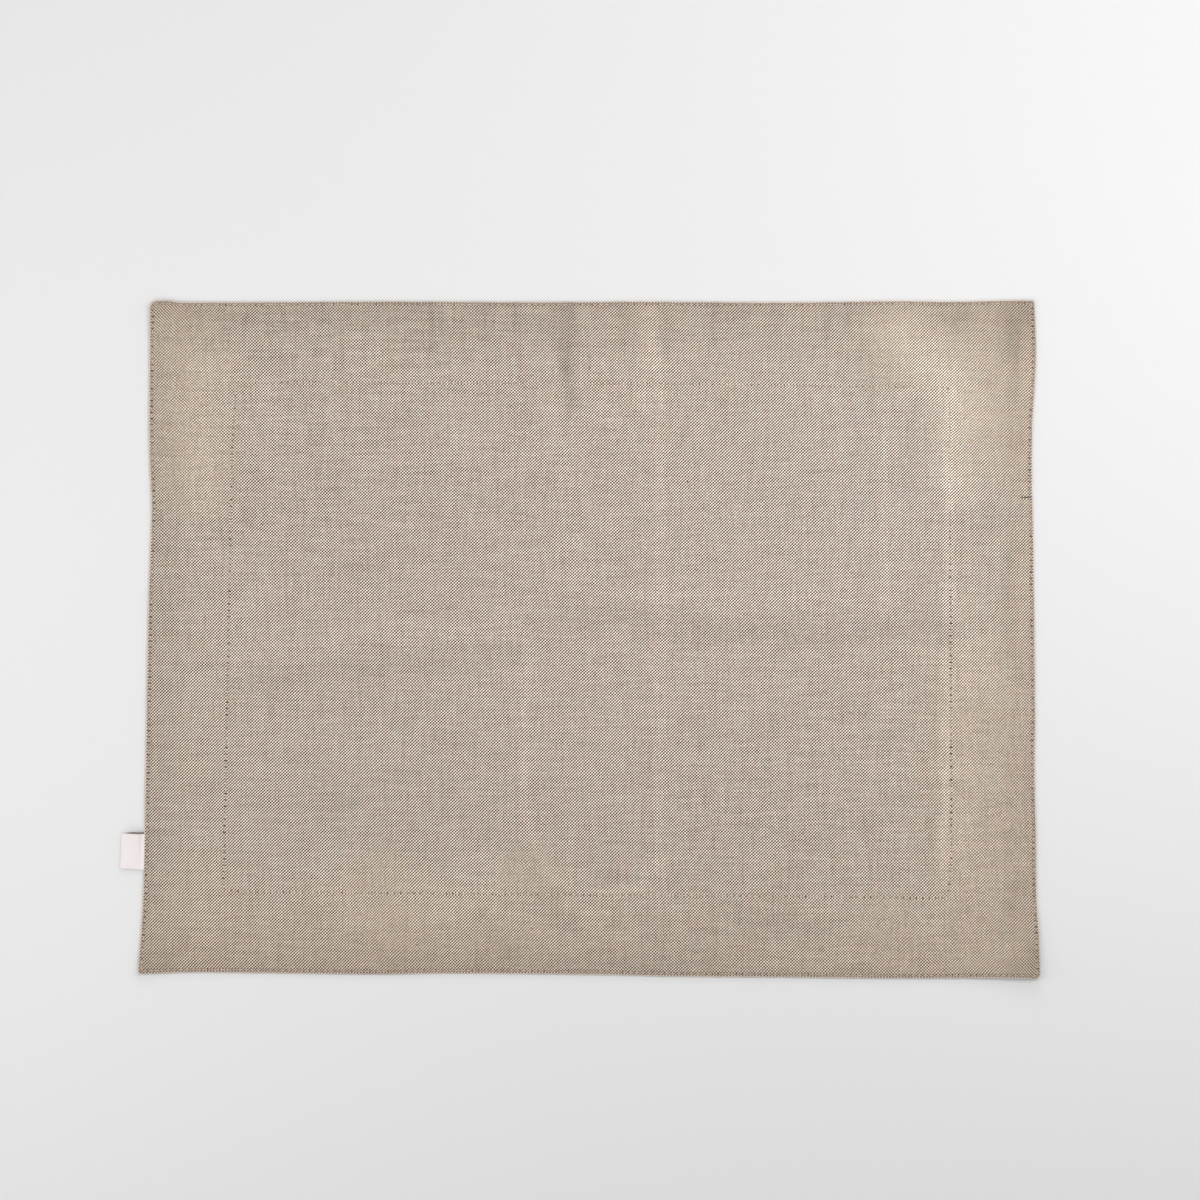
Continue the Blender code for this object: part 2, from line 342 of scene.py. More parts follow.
class Nodes:
    """The node tree of one material, with one method that adds any node."""

    def __init__(self, name: str) -> None:
        """Starts a material of that name with its shader and output."""
        self.material = bpy.data.materials.new(name)
        self.material.use_nodes = True
        self.tree = self.material.node_tree
        self.shader = self.tree.nodes["Principled BSDF"]

    def add(
        self,
        kind: str,
        settings: dict[str, object] | None = None,
        sockets: dict[str | int, object] | None = None,
    ) -> bpy.types.Node:
        """Adds a node.

        Args:
            kind: the node's type.
            settings: its properties, which are set first.
            sockets: for each input by name or number, a value or a Socket to link.

        Returns:
            The node.
        """
        made = self.tree.nodes.new(kind)
        for name, value in (settings or {}).items():
            setattr(made, name, value)
        for key, value in (sockets or {}).items():
            self.feed(made.inputs[key], value)
        return made

    def feed(self, entry: bpy.types.NodeSocket, value: object) -> None:
        """Links a Socket to an input, or sets the input's own value."""
        if isinstance(value, Socket):
            self.tree.links.new(value.output, entry)
        elif isinstance(value, tuple) and len(value) == 3 and entry.type == "RGBA":
            entry.default_value = (*value, 1.0)
        else:
            entry.default_value = value

    def value(
        self,
        output: str | int,
        kind: str,
        settings: dict[str, object] | None = None,
        sockets: dict[str | int, object] | None = None,
    ) -> Socket:
        """Adds a node, as add() does, and gives one of its outputs by name or number."""
        return Socket(self, self.add(kind, settings, sockets).outputs[output])

    def math(self, operation: str, *values: "Socket | float") -> Socket:
        """A Math node on one, two or three values."""
        return self.value(0, "ShaderNodeMath", {"operation": operation}, dict(enumerate(values)))

    def stored(self, name: str) -> tuple[Socket, Socket, Socket]:
        """The three numbers that the mesh keeps under that name."""
        kept = self.value("Vector", "ShaderNodeAttribute", {"attribute_name": name})
        made = self.add("ShaderNodeSeparateXYZ", sockets={"Vector": kept})
        return tuple(Socket(self, output) for output in made.outputs)

    def join(self, x: "Socket | float", y: "Socket | float", z: "Socket | float" = 0.0) -> Socket:
        """A vector of three numbers."""
        return self.value("Vector", "ShaderNodeCombineXYZ", sockets={"X": x, "Y": y, "Z": z})

    def noise(self, place: Socket, scale: float = 1.0, detail: float = 1.0) -> Socket:
        """Smooth noise in the plane, near 0.5 on the whole."""
        sockets = {"Vector": place, "Scale": scale, "Detail": detail}
        return self.value("Fac", "ShaderNodeTexNoise", {"noise_dimensions": "2D"}, sockets)

    def uneven(
        self, place: Socket, by: "Socket | float", scale: float = 1.0, detail: float = 1.0
    ) -> Socket:
        """The same noise about 0, times a number."""
        return (self.noise(place, scale, detail) - 0.5) * by

    def speckle(self, place: Socket) -> Socket:
        """A number from 0 to 1 that differs at each place."""
        settings = {"noise_dimensions": "2D"}
        return self.value("Value", "ShaderNodeTexWhiteNoise", settings, {"Vector": place})

    def mix(
        self, share: "Socket | float", first: "Socket | Colour", second: "Socket | Colour"
    ) -> Socket:
        """The first colour where the share is 0 or less, and the second where it is 1 or more."""
        settings = {"data_type": "RGBA", "clamp_factor": True}
        return self.value(2, "ShaderNodeMix", settings, {0: share, 6: first, 7: second})

    def scaled(self, colour: Socket, by: Socket) -> Socket:
        """A colour made brighter or darker."""
        sockets = {"Vector": colour, "Scale": by}
        return self.value("Vector", "ShaderNodeVectorMath", {"operation": "SCALE"}, sockets)

    def tinted(self, colour: Socket, tint: Socket) -> Socket:
        """A colour seen through another."""
        settings = {"operation": "MULTIPLY"}
        return self.value("Vector", "ShaderNodeVectorMath", settings, {0: colour, 1: tint})

    def relief(self, height: Socket, depth: float, strength: float = 1.0) -> Socket:
        """The normal that a height from 0 to 1 gives, where 1 stands that depth proud."""
        sockets = {"Strength": strength, "Distance": depth, "Height": height}
        return self.value("Normal", "ShaderNodeBump", sockets=sockets)

    def finish(
        self,
        colour: Socket,
        roughness: "Socket | float",
        normal: Socket | None = None,
        **constants: float | Colour,
    ) -> bpy.types.Material:
        """Feeds the shader.

        Args:
            colour: the base colour.
            roughness: of the surface.
            normal: from relief(), if the surface has any.
            constants: other inputs of the shader, with _ for each space, that are the
                same all over.

        Returns:
            The material.
        """
        self.feed(self.shader.inputs["Base Color"], colour)
        self.feed(self.shader.inputs["Roughness"], roughness)
        if normal is not None:
            self.feed(self.shader.inputs["Normal"], normal)
        for name, value in constants.items():
            self.feed(self.shader.inputs[name.replace("_", " ")], value)
        return self.material


# ---------------------------------------------------------------- the mat's plan


class Place(Enum):
    """A corner of the mat: which way it lies from the middle along X and Y."""

    FAR_LEFT = (-1, 1)
    FAR_RIGHT = (1, 1)
    NEAR_RIGHT = (1, -1)
    NEAR_LEFT = (-1, -1)


class Side(Enum):
    """A side of the mat: the corner at its left or far end, the other one, and the way in."""

    LEFT = (Place.FAR_LEFT, Place.NEAR_LEFT, (1, 0))
    RIGHT = (Place.FAR_RIGHT, Place.NEAR_RIGHT, (-1, 0))
    FAR = (Place.FAR_LEFT, Place.FAR_RIGHT, (0, -1))
    NEAR = (Place.NEAR_LEFT, Place.NEAR_RIGHT, (0, 1))


@dataclass(frozen=True)
class Corner:
    """A corner of the mat, against the corner of the nominal rectangle."""

    pull: Pair  # how far it stands from the rectangle's corner
    radius: float  # of the turned corner, seen from above
    lift: float  # how far it stands off the table
    reach: float  # how far from the corner that lift has died away


@dataclass
class Plan:
    """Where the cloth lies, seen from above.

    The four sides wave in and out of straight lines between the corners, and the inside
    is blended from them.
    """

    length: float = 0.500
    width: float = 0.380
    corners: dict[Place, Corner] = field(
        default_factory=lambda: {
            Place.FAR_LEFT: Corner((0.0040, -0.0005), radius=0.0044, lift=0.0012, reach=0.040),
            Place.FAR_RIGHT: Corner((-0.0004, -0.0001), radius=0.0016, lift=0.0005, reach=0.030),
            Place.NEAR_RIGHT: Corner((0.0027, -0.0004), radius=0.0036, lift=0.0032, reach=0.062),
            Place.NEAR_LEFT: Corner((-0.0024, 0.0022), radius=0.0014, lift=0.0012, reach=0.034),
        }
    )
    # Shares of each side, from its left or far end, and how far the cloth draws in from the
    # straight line there, in millimetres.
    waves: dict[Side, tuple] = field(
        default_factory=lambda: {
            Side.LEFT: (
                (0, 0), (0.17, 0.5), (0.24, 1.3), (0.31, 2.7), (0.46, 1.9), (0.86, 1.8),
                (0.94, 0.9), (0.98, 0), (1, 0),
            ),
            Side.RIGHT: (
                (0, 0), (0.08, -0.9), (0.19, 1.5), (0.27, 1.9), (0.36, 1.5), (0.60, 1.2),
                (0.70, 1.8), (0.79, 1.3), (0.88, 1.3), (0.94, 0.2), (1, 0),
            ),
            Side.FAR: (
                (0, 0), (0.02, -0.3), (0.033, 0.55), (0.05, 0.6), (0.12, 0.5), (0.28, 0.2),
                (0.44, 0.7), (0.55, 0.4), (0.72, 0.9), (0.84, 0.2), (0.91, 0.5), (0.97, -0.1), (1, 0),
            ),
            Side.NEAR: (
                (0, 0), (0.05, 1.0), (0.13, 1.0), (0.27, 0.5), (0.34, 1.3), (0.52, 0.9),
                (0.59, 0.3), (0.72, 0), (0.85, -0.3), (0.96, 0.3), (1, 0),
            ),
        }
    )

    def corner(self, place: Place) -> Array:
        """Where a corner lies before it is rounded."""
        half = np.array([self.length, self.width]) / 2
        return half * place.value + self.corners[place].pull

    def away(self, points: Array, place: Place) -> Array:
        """How far points are from a corner."""
        return np.linalg.norm(points - self.corner(place), axis=-1)

    def side(self, side: Side, share: Array) -> Array:
        """A point of a side: the straight line between its corners, drawn in by its waves."""
        start, end = (self.corner(place) for place in side.value[:2])
        drawn = curve_through(np.array(self.waves[side], float), share)[..., None] * MM
        return start + (end - start) * share[..., None] + drawn * np.array(side.value[2])

    def at(self, across: Array | float, down: Array | float) -> Array:
        """Points of the plan at distances from the left side and from the far side.

        First each corner is rounded: inside a square of its radius, with p and q the
        distances from the middle of its arc, the point moves to (p, q) max(p, q) /
        sqrt(p^2 + q^2), which turns squares about that middle into circles. Then the point
        is blended from the four sides: the blend of the long ones, plus the blend of the
        short ones, minus that of the corners.

        Args:
            across: from the left side, of the nominal length.
            down: from the far side, of the nominal width.

        Returns:
            Their places, with a last axis of X and Y.
        """
        across, down = (line.copy() for line in np.broadcast_arrays(across, down))
        for place, corner in self.corners.items():
            right, far = place.value[0] > 0, place.value[1] > 0
            p = corner.radius - (self.length - across if right else across)
            q = corner.radius - (down if far else self.width - down)
            inside = (p > 0) & (q > 0)
            p, q = np.where(inside, p, 1), np.where(inside, q, 1)
            shrink = np.where(inside, 1 - np.maximum(p, q) / np.hypot(p, q), 0)
            across += p * shrink * (-1 if right else 1)
            down += q * shrink * (1 if far else -1)
        u, v = across / self.length, down / self.width
        left, right = self.side(Side.LEFT, v), self.side(Side.RIGHT, v)
        far, near = self.side(Side.FAR, u), self.side(Side.NEAR, u)
        u, v = u[..., None], v[..., None]
        corners = [self.corner(place) for place in Place]
        far_line = corners[0] + (corners[1] - corners[0]) * u
        near_line = corners[3] + (corners[2] - corners[3]) * u
        blend = far * (1 - v) + near * v + (left * (1 - u) + right * u)
        return blend - far_line * (1 - v) - near_line * v

    def insets(self, points: Array) -> Array:
        """How far points lie inside each side in turn, on a first axis."""
        x, y = points[..., 0], points[..., 1]
        along_x = np.clip(x / self.length + 0.5, 0, 1)
        along_y = np.clip(0.5 - y / self.width, 0, 1)
        return np.stack(
            [
                (points - self.side(side, share)) @ np.array(side.value[2])
                for side, share in zip(Side, (along_y, along_y, along_x, along_x), strict=True)
            ]
        )

    def ring(self, inset: float, step: float) -> Array:
        """A closed line of points that runs round the mat at an inset from its edge,
        clockwise from the far left corner, with about that step between points."""
        across = np.arange(inset, self.length - inset, step)
        down = np.arange(inset, self.width - inset, step)
        sides = [
            self.at(across, inset),
            self.at(self.length - inset, down),
            self.at(across[::-1], self.width - inset),
            self.at(inset, down[::-1]),
        ]
        return np.concatenate([*sides, sides[0][:1]])


class SewnPath:
    """A sewn line on the mat: its points seen from above, and the stitches along it."""

    def __init__(self, points: Array, pitch: float) -> None:
        """Measures the line and fits a whole number of stitches of about that pitch."""
        lengths = np.linalg.norm(np.diff(points, axis=0), axis=1)
        self.points = points
        self.run = np.concatenate([[0], np.cumsum(lengths)])
        self.stitches = max(round(self.run[-1] / pitch), 1)
        self.pitch = self.run[-1] / self.stitches

    def at(self, run: Array) -> Array:
        """Where the line is after each length of it."""
        return np.stack([np.interp(run, self.run, self.points[:, i]) for i in (0, 1)], axis=-1)

    def sideways(self, run: Array) -> Array:
        """The level direction across the line, to its left."""
        ahead = self.at(np.minimum(run + MM / 4, self.run[-1]))
        ahead -= self.at(np.maximum(run - MM / 4, 0))
        ahead /= np.maximum(np.linalg.norm(ahead, axis=-1, keepdims=True), 1e-12)
        return np.stack([-ahead[..., 1], ahead[..., 0]], axis=-1)

    def nearest(self, points: Array, within: float) -> tuple[Array, Array]:
        """Finds the line from points of the plan.

        Args:
            points: (n, 2) places.
            within: points that are farther away than this are only told so.

        Returns:
            How far along the line its nearest place is, and how far away that is, which
            is less than 0 to the right of the line.
        """
        run, offset = np.zeros(len(points)), np.full(len(points), within)
        low, high = self.points.min(axis=0) - within, self.points.max(axis=0) + within
        close = np.flatnonzero(((points > low) & (points < high)).all(axis=1))
        for group in np.array_split(close, max(len(close) // 400, 1)):
            apart = np.hypot(*(points[group, None] - self.points[None]).transpose(2, 0, 1))
            index = np.clip(apart.argmin(axis=1), 1, len(self.points) - 2)
            start, end = self.points[index - 1], self.points[index + 1]
            along = ((points[group] - start) * (end - start)).sum(1)
            share = np.clip(along / ((end - start) ** 2).sum(1), 0, 1)
            place = start + (end - start) * share[:, None]
            run[group] = self.run[index - 1] + share * (self.run[index + 1] - self.run[index - 1])
            away, ahead = points[group] - place, end - start
            side = np.sign(ahead[:, 0] * away[:, 1] - ahead[:, 1] * away[:, 0])
            offset[group] = side * np.minimum(np.linalg.norm(away, axis=1), within)
        return run, offset


# ---------------------------------------------------------------- the cloth


@dataclass(frozen=True)
class Trace:
    """A line that shows on the cloth: wholly on the line, and no more at its reach.

    Its places are in millimetres of the plan, and so is its reach.
    """

    strength: float
    reach: float
    line: tuple[Pair, ...]


def traces(*rows: tuple) -> tuple[Trace, ...]:
    """Reads rows that each hold a strength, a reach and then the places of a line."""
    return tuple(Trace(strength, reach, tuple(line)) for strength, reach, *line in rows)


def traced(points: Array, lines: tuple[Trace, ...]) -> Array:
    """The strengths of lines at points of the plan, added together."""
    total = np.zeros(points.shape[:-1])
    for trace in lines:
        away = distance_to_line(points, np.array(trace.line, float) * MM)
        total += trace.strength * bump(away, trace.reach * MM)
    return total


@dataclass
class Weave:
    """The threads of the cloth: how far apart they lie, and where each is counted from."""

    pitch_across: float = 0.000868
    pitch_far: float = 0.000831  # down the mat, at the far side
    pitch_near: float = 0.000851  # and at the near side

    def count(self, points: Array, plan: Plan) -> Array:
        """Counts threads from the middle of the far side.

        Across, the count is x / pitch. Down, the threads lie a little farther apart towards
        the near side, so with t the distance down over the width the count is the integral
        of 1 / pitch, which is width (t / far - t^2 (1 / far - 1 / near) / 2).

        Args:
            points: places of the plan.
            plan: of the mat.

        Returns:
            The counts across and down, on a last axis.
        """
        t = 0.5 - points[..., 1] / plan.width
        far, near = 1 / self.pitch_far, 1 / self.pitch_near
        down = plan.width * (t * far - t * t * (far - near) / 2)
        return np.stack([points[..., 0] / self.pitch_across, down], axis=-1)


@dataclass
class Mat:
    """The cloth: two plies turned in and sewn together round the edge, as one closed sheet."""

    plan: Plan
    weave: Weave
    edge_thickness: float = 0.0012
    body_thickness: float = 0.0023
    swell: float = 0.016  # how far in from the edge it takes to swell
    border_height: float = 0.00035  # of the outermost line of the edge
    rim: Pair = (0.0010, 0.0003)  # how far in the upper and under faces round off
    grid: float = 0.0028
    edge_inset: float = 0.00195  # of the edge stitching
    edge_pitch: float = 0.00336
    edge_groove: Pair = (0.00030, 0.0009)  # its depth and half its width
    hem_pitch: float = 0.00365
    hem_groove: Pair = (0.00014, 0.0012)
    # How far apart the grid's lines are at the edge, how fast that grows, how much faster and
    # from where; and the same at the inner stitching, from where it grows.
    edge_grid: tuple[float, ...] = (0.00006, 0.16, 0.4, 0.003)
    hem_grid: Triple = (0.00055, 0.6, 0.0028)
    hem_across: Pair = (0.0490, 0.0480)  # how far in it lies, left and right
    hem_down: Pair = (0.0474, 0.0467)  # and at the far and near sides
    stitch_reach: float = 0.0045  # how far from a line of stitching the cloth is told of it
    under_share: float = 0.6  # of the grooves' depth that the under face has
    # Gathers at the far side: their spacing, height, length, the middle of the stretch along X
    # that they fill, and its reach; how unevenly they are spaced, and where they start.
    far_puckers: tuple = (0.0155, 0.00030, 0.034, 0.060, 0.150)
    pucker_drift: Pair = (0.35, 0.021)
    pucker_start: float = 0.006
    ripple: float = 0.00006
    ripple_count: int = 28
    ripple_length: Pair = (0.014, 0.060)
    seed: int = 7
    # The corners of the inner line of stitching and where it bends, in millimetres.
    hem_line: tuple = (
        (-197.5, 143.6), (-183.1, 143.7), (60.0, 142.6), (200.5, 140.4), (201.6, 125.4),
        (202.7, -121.0), (201.6, -135.0), (201.0, -145.0), (164.6, -144.5), (-190.4, -141.5),
        (-204.8, -140.2), (-204.1, -123.8), (-199.5, 111.4), (-198.8, 118.7), (-197.9, 132.9),
        (-197.5, 143.6),
    )
    # Soft ridges of the upper ply: their height in millimetres, their reach and their lines.
    folds: tuple[Trace, ...] = traces(
        (0.8, 18, (-193, -14), (-36, 0)), (0.9, 18, (4, 22), (196, 13)),
        (0.5, 12, (40, 184), (40, -130)), (1.2, 20, (198, 140), (202, 20)),
        (0.7, 16, (202, 20), (203, -125)), (2.0, 36, (168, 164), (204, 120)),
        (0.9, 14, (-28, 186), (-26, 142)), (1.0, 16, (30, 186), (31, 130)),
        (0.5, 12, (-36, 0), (-36, -105)), (0.4, 12, (-24, -136), (26, -138)),
        (0.4, 12, (166, 125), (166, 15)),
    )
    # How many hundredths lighter the cloth is painted: painted light and shade on its folds, creases,
    # gathers and hollows, and a painted sheen on pressed creases.
    painted_light_marks: tuple[Trace, ...] = traces(
        # the crease down the middle, and the curved mark to its left
        (12, 5, (35, 187), (37, 160), (39.8, 130), (39.8, 60)),
        (8, 5, (39.8, 60), (39.8, -100), (39.5, -128)),
        (10, 5, (-35.8, -0.6), (-36.4, -67.8), (-34.2, -107), (-24.6, -130.5), (-7.8, -140),
         (11.8, -141.7), (28.6, -139.4), (39.8, -123.8)),
        # the curved mark beside the right-hand hem, and one more to its left
        (9, 4.5, (165.8, 15.1), (165.2, 77.8), (166.3, 117), (170.2, 132.7), (178.6, 140),
         (193.8, 135.5)),
        (4, 5, (139.4, 133.8), (139.4, 21.8)),
        # painted highlight on the step at the hem's edge
        (18, 5.5, (201, 140), (201.6, 10)), (15, 6, (200.5, -14), (198.2, -136)),
        # where the cloth bulges towards the light, by the far side
        (16, 27, (172, 172), (196.6, 147.8), (208, 122.6), (208, 92)),
        (9, 7, (31.4, 184), (31.4, 132)), (8, 9, (-24, 131), (-24, 122)),
        (10, 9, (7, 132), (14, 122)), (6, 10, (11, 155), (31, 127)),
        # pale places to the right of the middle
        (8, 4, (154.6, -73.4), (221.8, -73.4)), (6, 3, (202, -115.4), (235.8, -115.4)),
        (8, 16, (206, -10), (224, -20)), (8, 14, (208, -24), (208, -132)),
        (6, 5, (245, 165), (245, 20)), (3, 7, (180, -172), (228, -172)),
        (9, 9, (80, -180), (228, -183)), (9, 7, (210, -175), (211, -176)),
        (4, 9, (172, -124), (176, -122)),
        # pale places to the left of it
        (11, 24, (-240, 176), (-238, 172)), (3, 14, (-241, 150), (-241, 80)),
        (4, 7, (-243, 188), (-160, 188)), (7, 34, (-132, -141), (-62, -141)),
        (5, 18, (-181, 136), (-181, 122)), (5, 20, (-120, 165), (-116, 140)),
        (5, 9, (-196, 152), (-190, 147)), (5, 8, (-130, 141), (-122, 140)),
        (9, 28, (-217.8, 150.6), (-219, 83.4)), (5, 6, (-77.8, 113), (-41.4, 113)),
        # the fold across the middle: painted light above it, painted shade below
        (5, 9, (-145, 0), (-106, 6), (-33, 4)),
        (5, 8, (-16, 36), (28.6, 22), (96, 23.5), (157, 22)),
        (-5, 12, (-201, -24), (-145, -18), (-95, -11), (-41, -8)),
        (-3, 12, (-41, -8), (-30, 6), (-11, 15)),
        (-6, 14, (-11, 14), (28.6, 13), (73, 4), (135, 2), (196, 7)),
        # shaded hollows by the far side
        (-16, 8, (-11.8, 189), (-11.8, 150)), (-15, 8, (-11.8, 150), (-10, 127)),
        (-6, 12, (-18, 180), (-15, 162)), (-5, 8, (-83, 134), (-82, 131)),
        (-4, 8, (-27, 176), (-27, 168)), (-3, 2.5, (-87.9, 184), (-87.9, 61)),
        # shaded hollows by the right-hand side
        (-14, 14, (236.9, 179.8), (236, 160)), (-9, 9, (211, 180), (206, 177)),
        (-7, 15, (216, 112), (224, 62)), (-4, 8, (235, 150), (235, -150)),
        (-6, 8, (235, 48), (235, -10)), (-4, 13, (189, -112), (189, -122)),
        (-5, 7, (236.5, 176), (238, 135)), (-4, 9, (228, 36), (228, -8)),
        (-9, 13, (238, -140), (234, -160)),
        # shaded hollows towards the near side
        (-8, 3, (0, -137), (28, -136.5)), (-8, 3, (56, -138.5), (84, -138.5)),
        (-3, 7, (36, -164), (90, -165)), (-4, 11, (92, -110), (100, -111)),
        (-6, 14, (6.2, -126.6), (12, -124)), (-7, 14, (76, -155), (100, -160), (129.4, -163)),
        (-8, 12, (-21.8, -149), (-10, -160)), (-7, 9, (-66, -152), (-42, -176)),
        (-6, 9, (28.6, -154.6), (40, -156)), (-6, 16, (-145, -95.8), (-140, -90)),
        # and the rest of them
        (-5, 5, (-236, -28), (-210, -28)), (-4, 6, (122.6, -40), (122.6, -74)),
        (-5, 11, (165.8, -56.6), (175, -52)),
        # painted shade in short gathers along the far side
        *(
            (-9, 4.2, (x, 188), (x * 0.985, end))
            for x, end in ((-89, 160), (-58, 168), (-41, 156), (18, 164), (43.5, 160), (71, 166),
                           (87, 170), (104, 163), (135, 168), (146, 172))
        ),
    )
    # How many hundredths of its two tones the cloth has lost where it has rubbed smooth.
    rubbed_marks: tuple[Trace, ...] = traces(
        (100, 50, (228, 185), (224, 118)), (105, 52, (-238, 175), (-232, 105)),
        (95, 54, (226, -44), (226, -180)), (14, 34, (-235, -180), (235, -180)),
        (12, 24, (-220, 190), (220, 190)), (100, 26, (168, 176), (165, 150)),
        (130, 20, (-38, -127), (-28, -127)), (95, 30, (-116, -135), (-108, -168)),
        (95, 26, (166, -155), (170, -170)), (45, 20, (-60, -172), (-30, -172)),
    )
    # Painted shade in bands along the sides, where the cloth rolls down to its edge: how much darker,
    # and how far in.
    painted_edge_shade: tuple = (
        (Side.LEFT, 0.12, 0.034), (Side.RIGHT, 0.12, 0.020), (Side.FAR, 0.03, 0.022),
        (Side.FAR, 0.12, 0.042), (Side.NEAR, 0.07, 0.018), (Side.NEAR, 0.08, 0.050),
    )
    # Painted shade, darker away from the light: how much darker the cloth is to the left and to the
    # near side, and over what length.
    painted_falloff: Pair = (0.035, 0.12)
    # The light on the cloth is multiplied by 1 + red in red and by 1 - yellow in blue. Each
    # is a sum over the bands along the left, right, far and near sides, the near one times x,
    # the cool place, and 1 all over.
    warm_reach: tuple = (0.085, 0.025, 0.045, 0.085)
    cool_place: Triple = (0.15, 0.11, 0.14)  # X, Y and its reach
    red: tuple = (0.0, 0.0192, 0.0072, 0.0228, -0.054, -0.018, -0.0012)
    yellow: tuple = (0.0182, 0.0266, 0.0126, 0.0294, -0.063, -0.0154, 0.0056)
    # How far the weave leans: all over, how much more in two quarters and less in the others,
    # and the x y at which that is nearly full. Then a corner, its reach, and its own lean.
    leaning: Triple = (0.12, 0.07, 0.014)
    slides: tuple = (
        (Place.NEAR_RIGHT, 0.060, 0.40), (Place.NEAR_RIGHT, 0.028, -0.90),
        (Place.FAR_LEFT, 0.034, -0.45),
    )
    # How plainly the edge stitching's band shows along the short sides and the long ones, and
    # how far in the long ones count.
    edge_shows: Triple = (0.40, 1.0, 0.006)
    # How plainly the inner stitching shows at shares of its length: least along the far side,
    # most at the right and the left.
    hem_shows: tuple = (
        (0, 0.3), (0.02, 0.2), (0.26, 0.2), (0.28, 0.05), (0.33, 0.1), (0.37, 0.9), (0.48, 0.9),
        (0.53, 0.6), (0.60, 0.35), (0.74, 0.5), (0.785, 0.75), (0.80, 0.85), (0.98, 0.7), (1, 0.3),
    )

    def edge_path(self) -> SewnPath:
        """The line of the edge stitching, round the whole mat."""
        return SewnPath(self.plan.ring(self.edge_inset, MM / 2), self.edge_pitch)

    def hem_path(self) -> SewnPath:
        """The inner line of stitching, straight from each of its places to the next."""
        bends = SewnPath(np.array(self.hem_line) * MM, self.hem_pitch)
        length = bends.run[-1]
        points = bends.at(np.linspace(0, length, round(length / MM) + 1))
        return SewnPath(points, self.hem_pitch)

    def lift(self, points: Array) -> Array:
        """How far the underside stands off the table: each corner's lift, dying away as the
        square of what is left of its reach."""
        lift = np.zeros(points.shape[:-1])
        for place, corner in self.plan.corners.items():
            left = np.maximum(1 - self.plan.away(points, place) / corner.reach, 0)
            lift += corner.lift * left**2
        return lift

    def ripples(self, points: Array) -> Array:
        """Fine unevenness of the upper ply: waves in seeded directions."""
        random = np.random.default_rng(self.seed)
        height = np.zeros(points.shape[:-1])
        short, long = self.ripple_length
        for _ in range(self.ripple_count):
            wavelength, angle, phase = random.uniform((short, 0, 0), (long, np.pi, 2 * np.pi))
            along = points @ np.array([np.cos(angle), np.sin(angle)])
            height += np.sin(2 * np.pi * along / wavelength + phase) * wavelength / long
        return height * self.ripple

    def puckers(self, points: Array) -> Array:
        """Small gathers that run in from the far side: a wave along X, which fades with the
        distance from that side and towards both ends of the stretch they fill."""
        spacing, height, length, middle, reach = self.far_puckers
        x, inset = points[..., 0], self.plan.insets(points)[2]
        drift = self.pucker_drift[0] * np.sin(x / self.pucker_drift[1])
        wave = 0.5 + 0.5 * np.cos(2 * np.pi * (x / spacing + drift))
        fades = bump(np.maximum(inset - self.pucker_start, 0), length)
        fades *= smooth_step(0, self.pucker_start, inset)
        return height * wave * fades * bump(x - middle, reach)

    def thickness(self, points: Array) -> Array:
        """Of the sheet: thin at the stitched edge, swelling inside it, with the folds on top."""
        insets = self.plan.insets(points)
        swelling = np.prod(1 - bump(np.maximum(insets, 0), self.swell), axis=0)
        thickness = (self.body_thickness - self.edge_thickness) * swelling + self.edge_thickness
        thickness += traced(points, self.folds) * MM
        return thickness + self.puckers(points) + self.ripples(points) * swelling

    def grooves(self, edge_offset: Array, hem_offset: Array) -> Array:
        """How far the stitching pulls each face in, from the distances to its two lines."""
        (edge_depth, edge_reach), (hem_depth, hem_reach) = self.edge_groove, self.hem_groove
        at_edge = edge_depth * bump(np.abs(edge_offset), edge_reach)
        return at_edge + hem_depth * bump(np.abs(hem_offset), hem_reach)

    def grid_lines(self, length: float, hems: Pair) -> Array:
        """Places the grid's lines along one side, closer towards its ends and at the inner
        stitching.

        Args:
            length: of the side.
            hems: how far in from its two ends the inner stitching lies.

        Returns:
            Their places.
        """

        def spacing(place: Array) -> Array:
            """How far apart the lines are there."""
            inset = np.minimum(place, length - place)
            least, growth, more, deep = self.edge_grid
            edge = least + growth * inset + more * np.maximum(inset - deep, 0)
            away = np.minimum(np.abs(place - hems[0]), np.abs(place - (length - hems[1])))
            least, growth, deep = self.hem_grid
            hem = least + growth * np.maximum(away - deep, 0)
            return np.minimum(np.minimum(edge, hem), self.grid)

        return spaced_lines(length, spacing)

    def grid_points(self) -> tuple[Array, Array]:
        """Lays the grid over the plan.

        Returns:
            (rows, columns, 2) points, from the far side down and from the left across, and
            how far each is from the edge.
        """
        across = self.grid_lines(self.plan.length, self.hem_across)[None, :]
        down = self.grid_lines(self.plan.width, self.hem_down)[:, None]
        inset = np.minimum(
            np.minimum(across, self.plan.length - across), np.minimum(down, self.plan.width - down)
        )
        return self.plan.at(across, down), inset

    def build(self) -> bpy.types.Object:
        """Makes the sheet.

        Within a reach r of the edge, each face falls to the border's height by a quarter
        ellipse, sqrt(1 - (1 - inset / r)^2), so the section ends rounded. Inside that, each
        face is drawn in by the grooves.

        Returns:
            The piece, with what its material reads: the thread counts and how far up the rounded rim a
                point is, the two lines of stitching, the painted light and shade, and the warmth.
        """
        points, inset = self.grid_points()
        flat = points.reshape(-1, 2)
        edge_run, edge_offset = self.edge_path().nearest(flat, self.stitch_reach)
        hem_run, hem_offset = self.hem_path().nearest(flat, self.stitch_reach)
        drawn = self.grooves(edge_offset, hem_offset).reshape(inset.shape)

        outside = np.clip(1 - inset[..., None] / self.rim, 0, 1)
        above, below = np.moveaxis(np.sqrt(1 - outside**2), -1, 0)
        border = self.lift(points) + self.border_height
        rise = self.thickness(points) - self.border_height - drawn
        upper = np.dstack([points, border + rise * above])
        sunk = self.border_height - self.under_share * drawn
        lower = np.dstack([points, border - sunk * below])
        made, grid_number = closed_sheet("cloth", upper, lower)

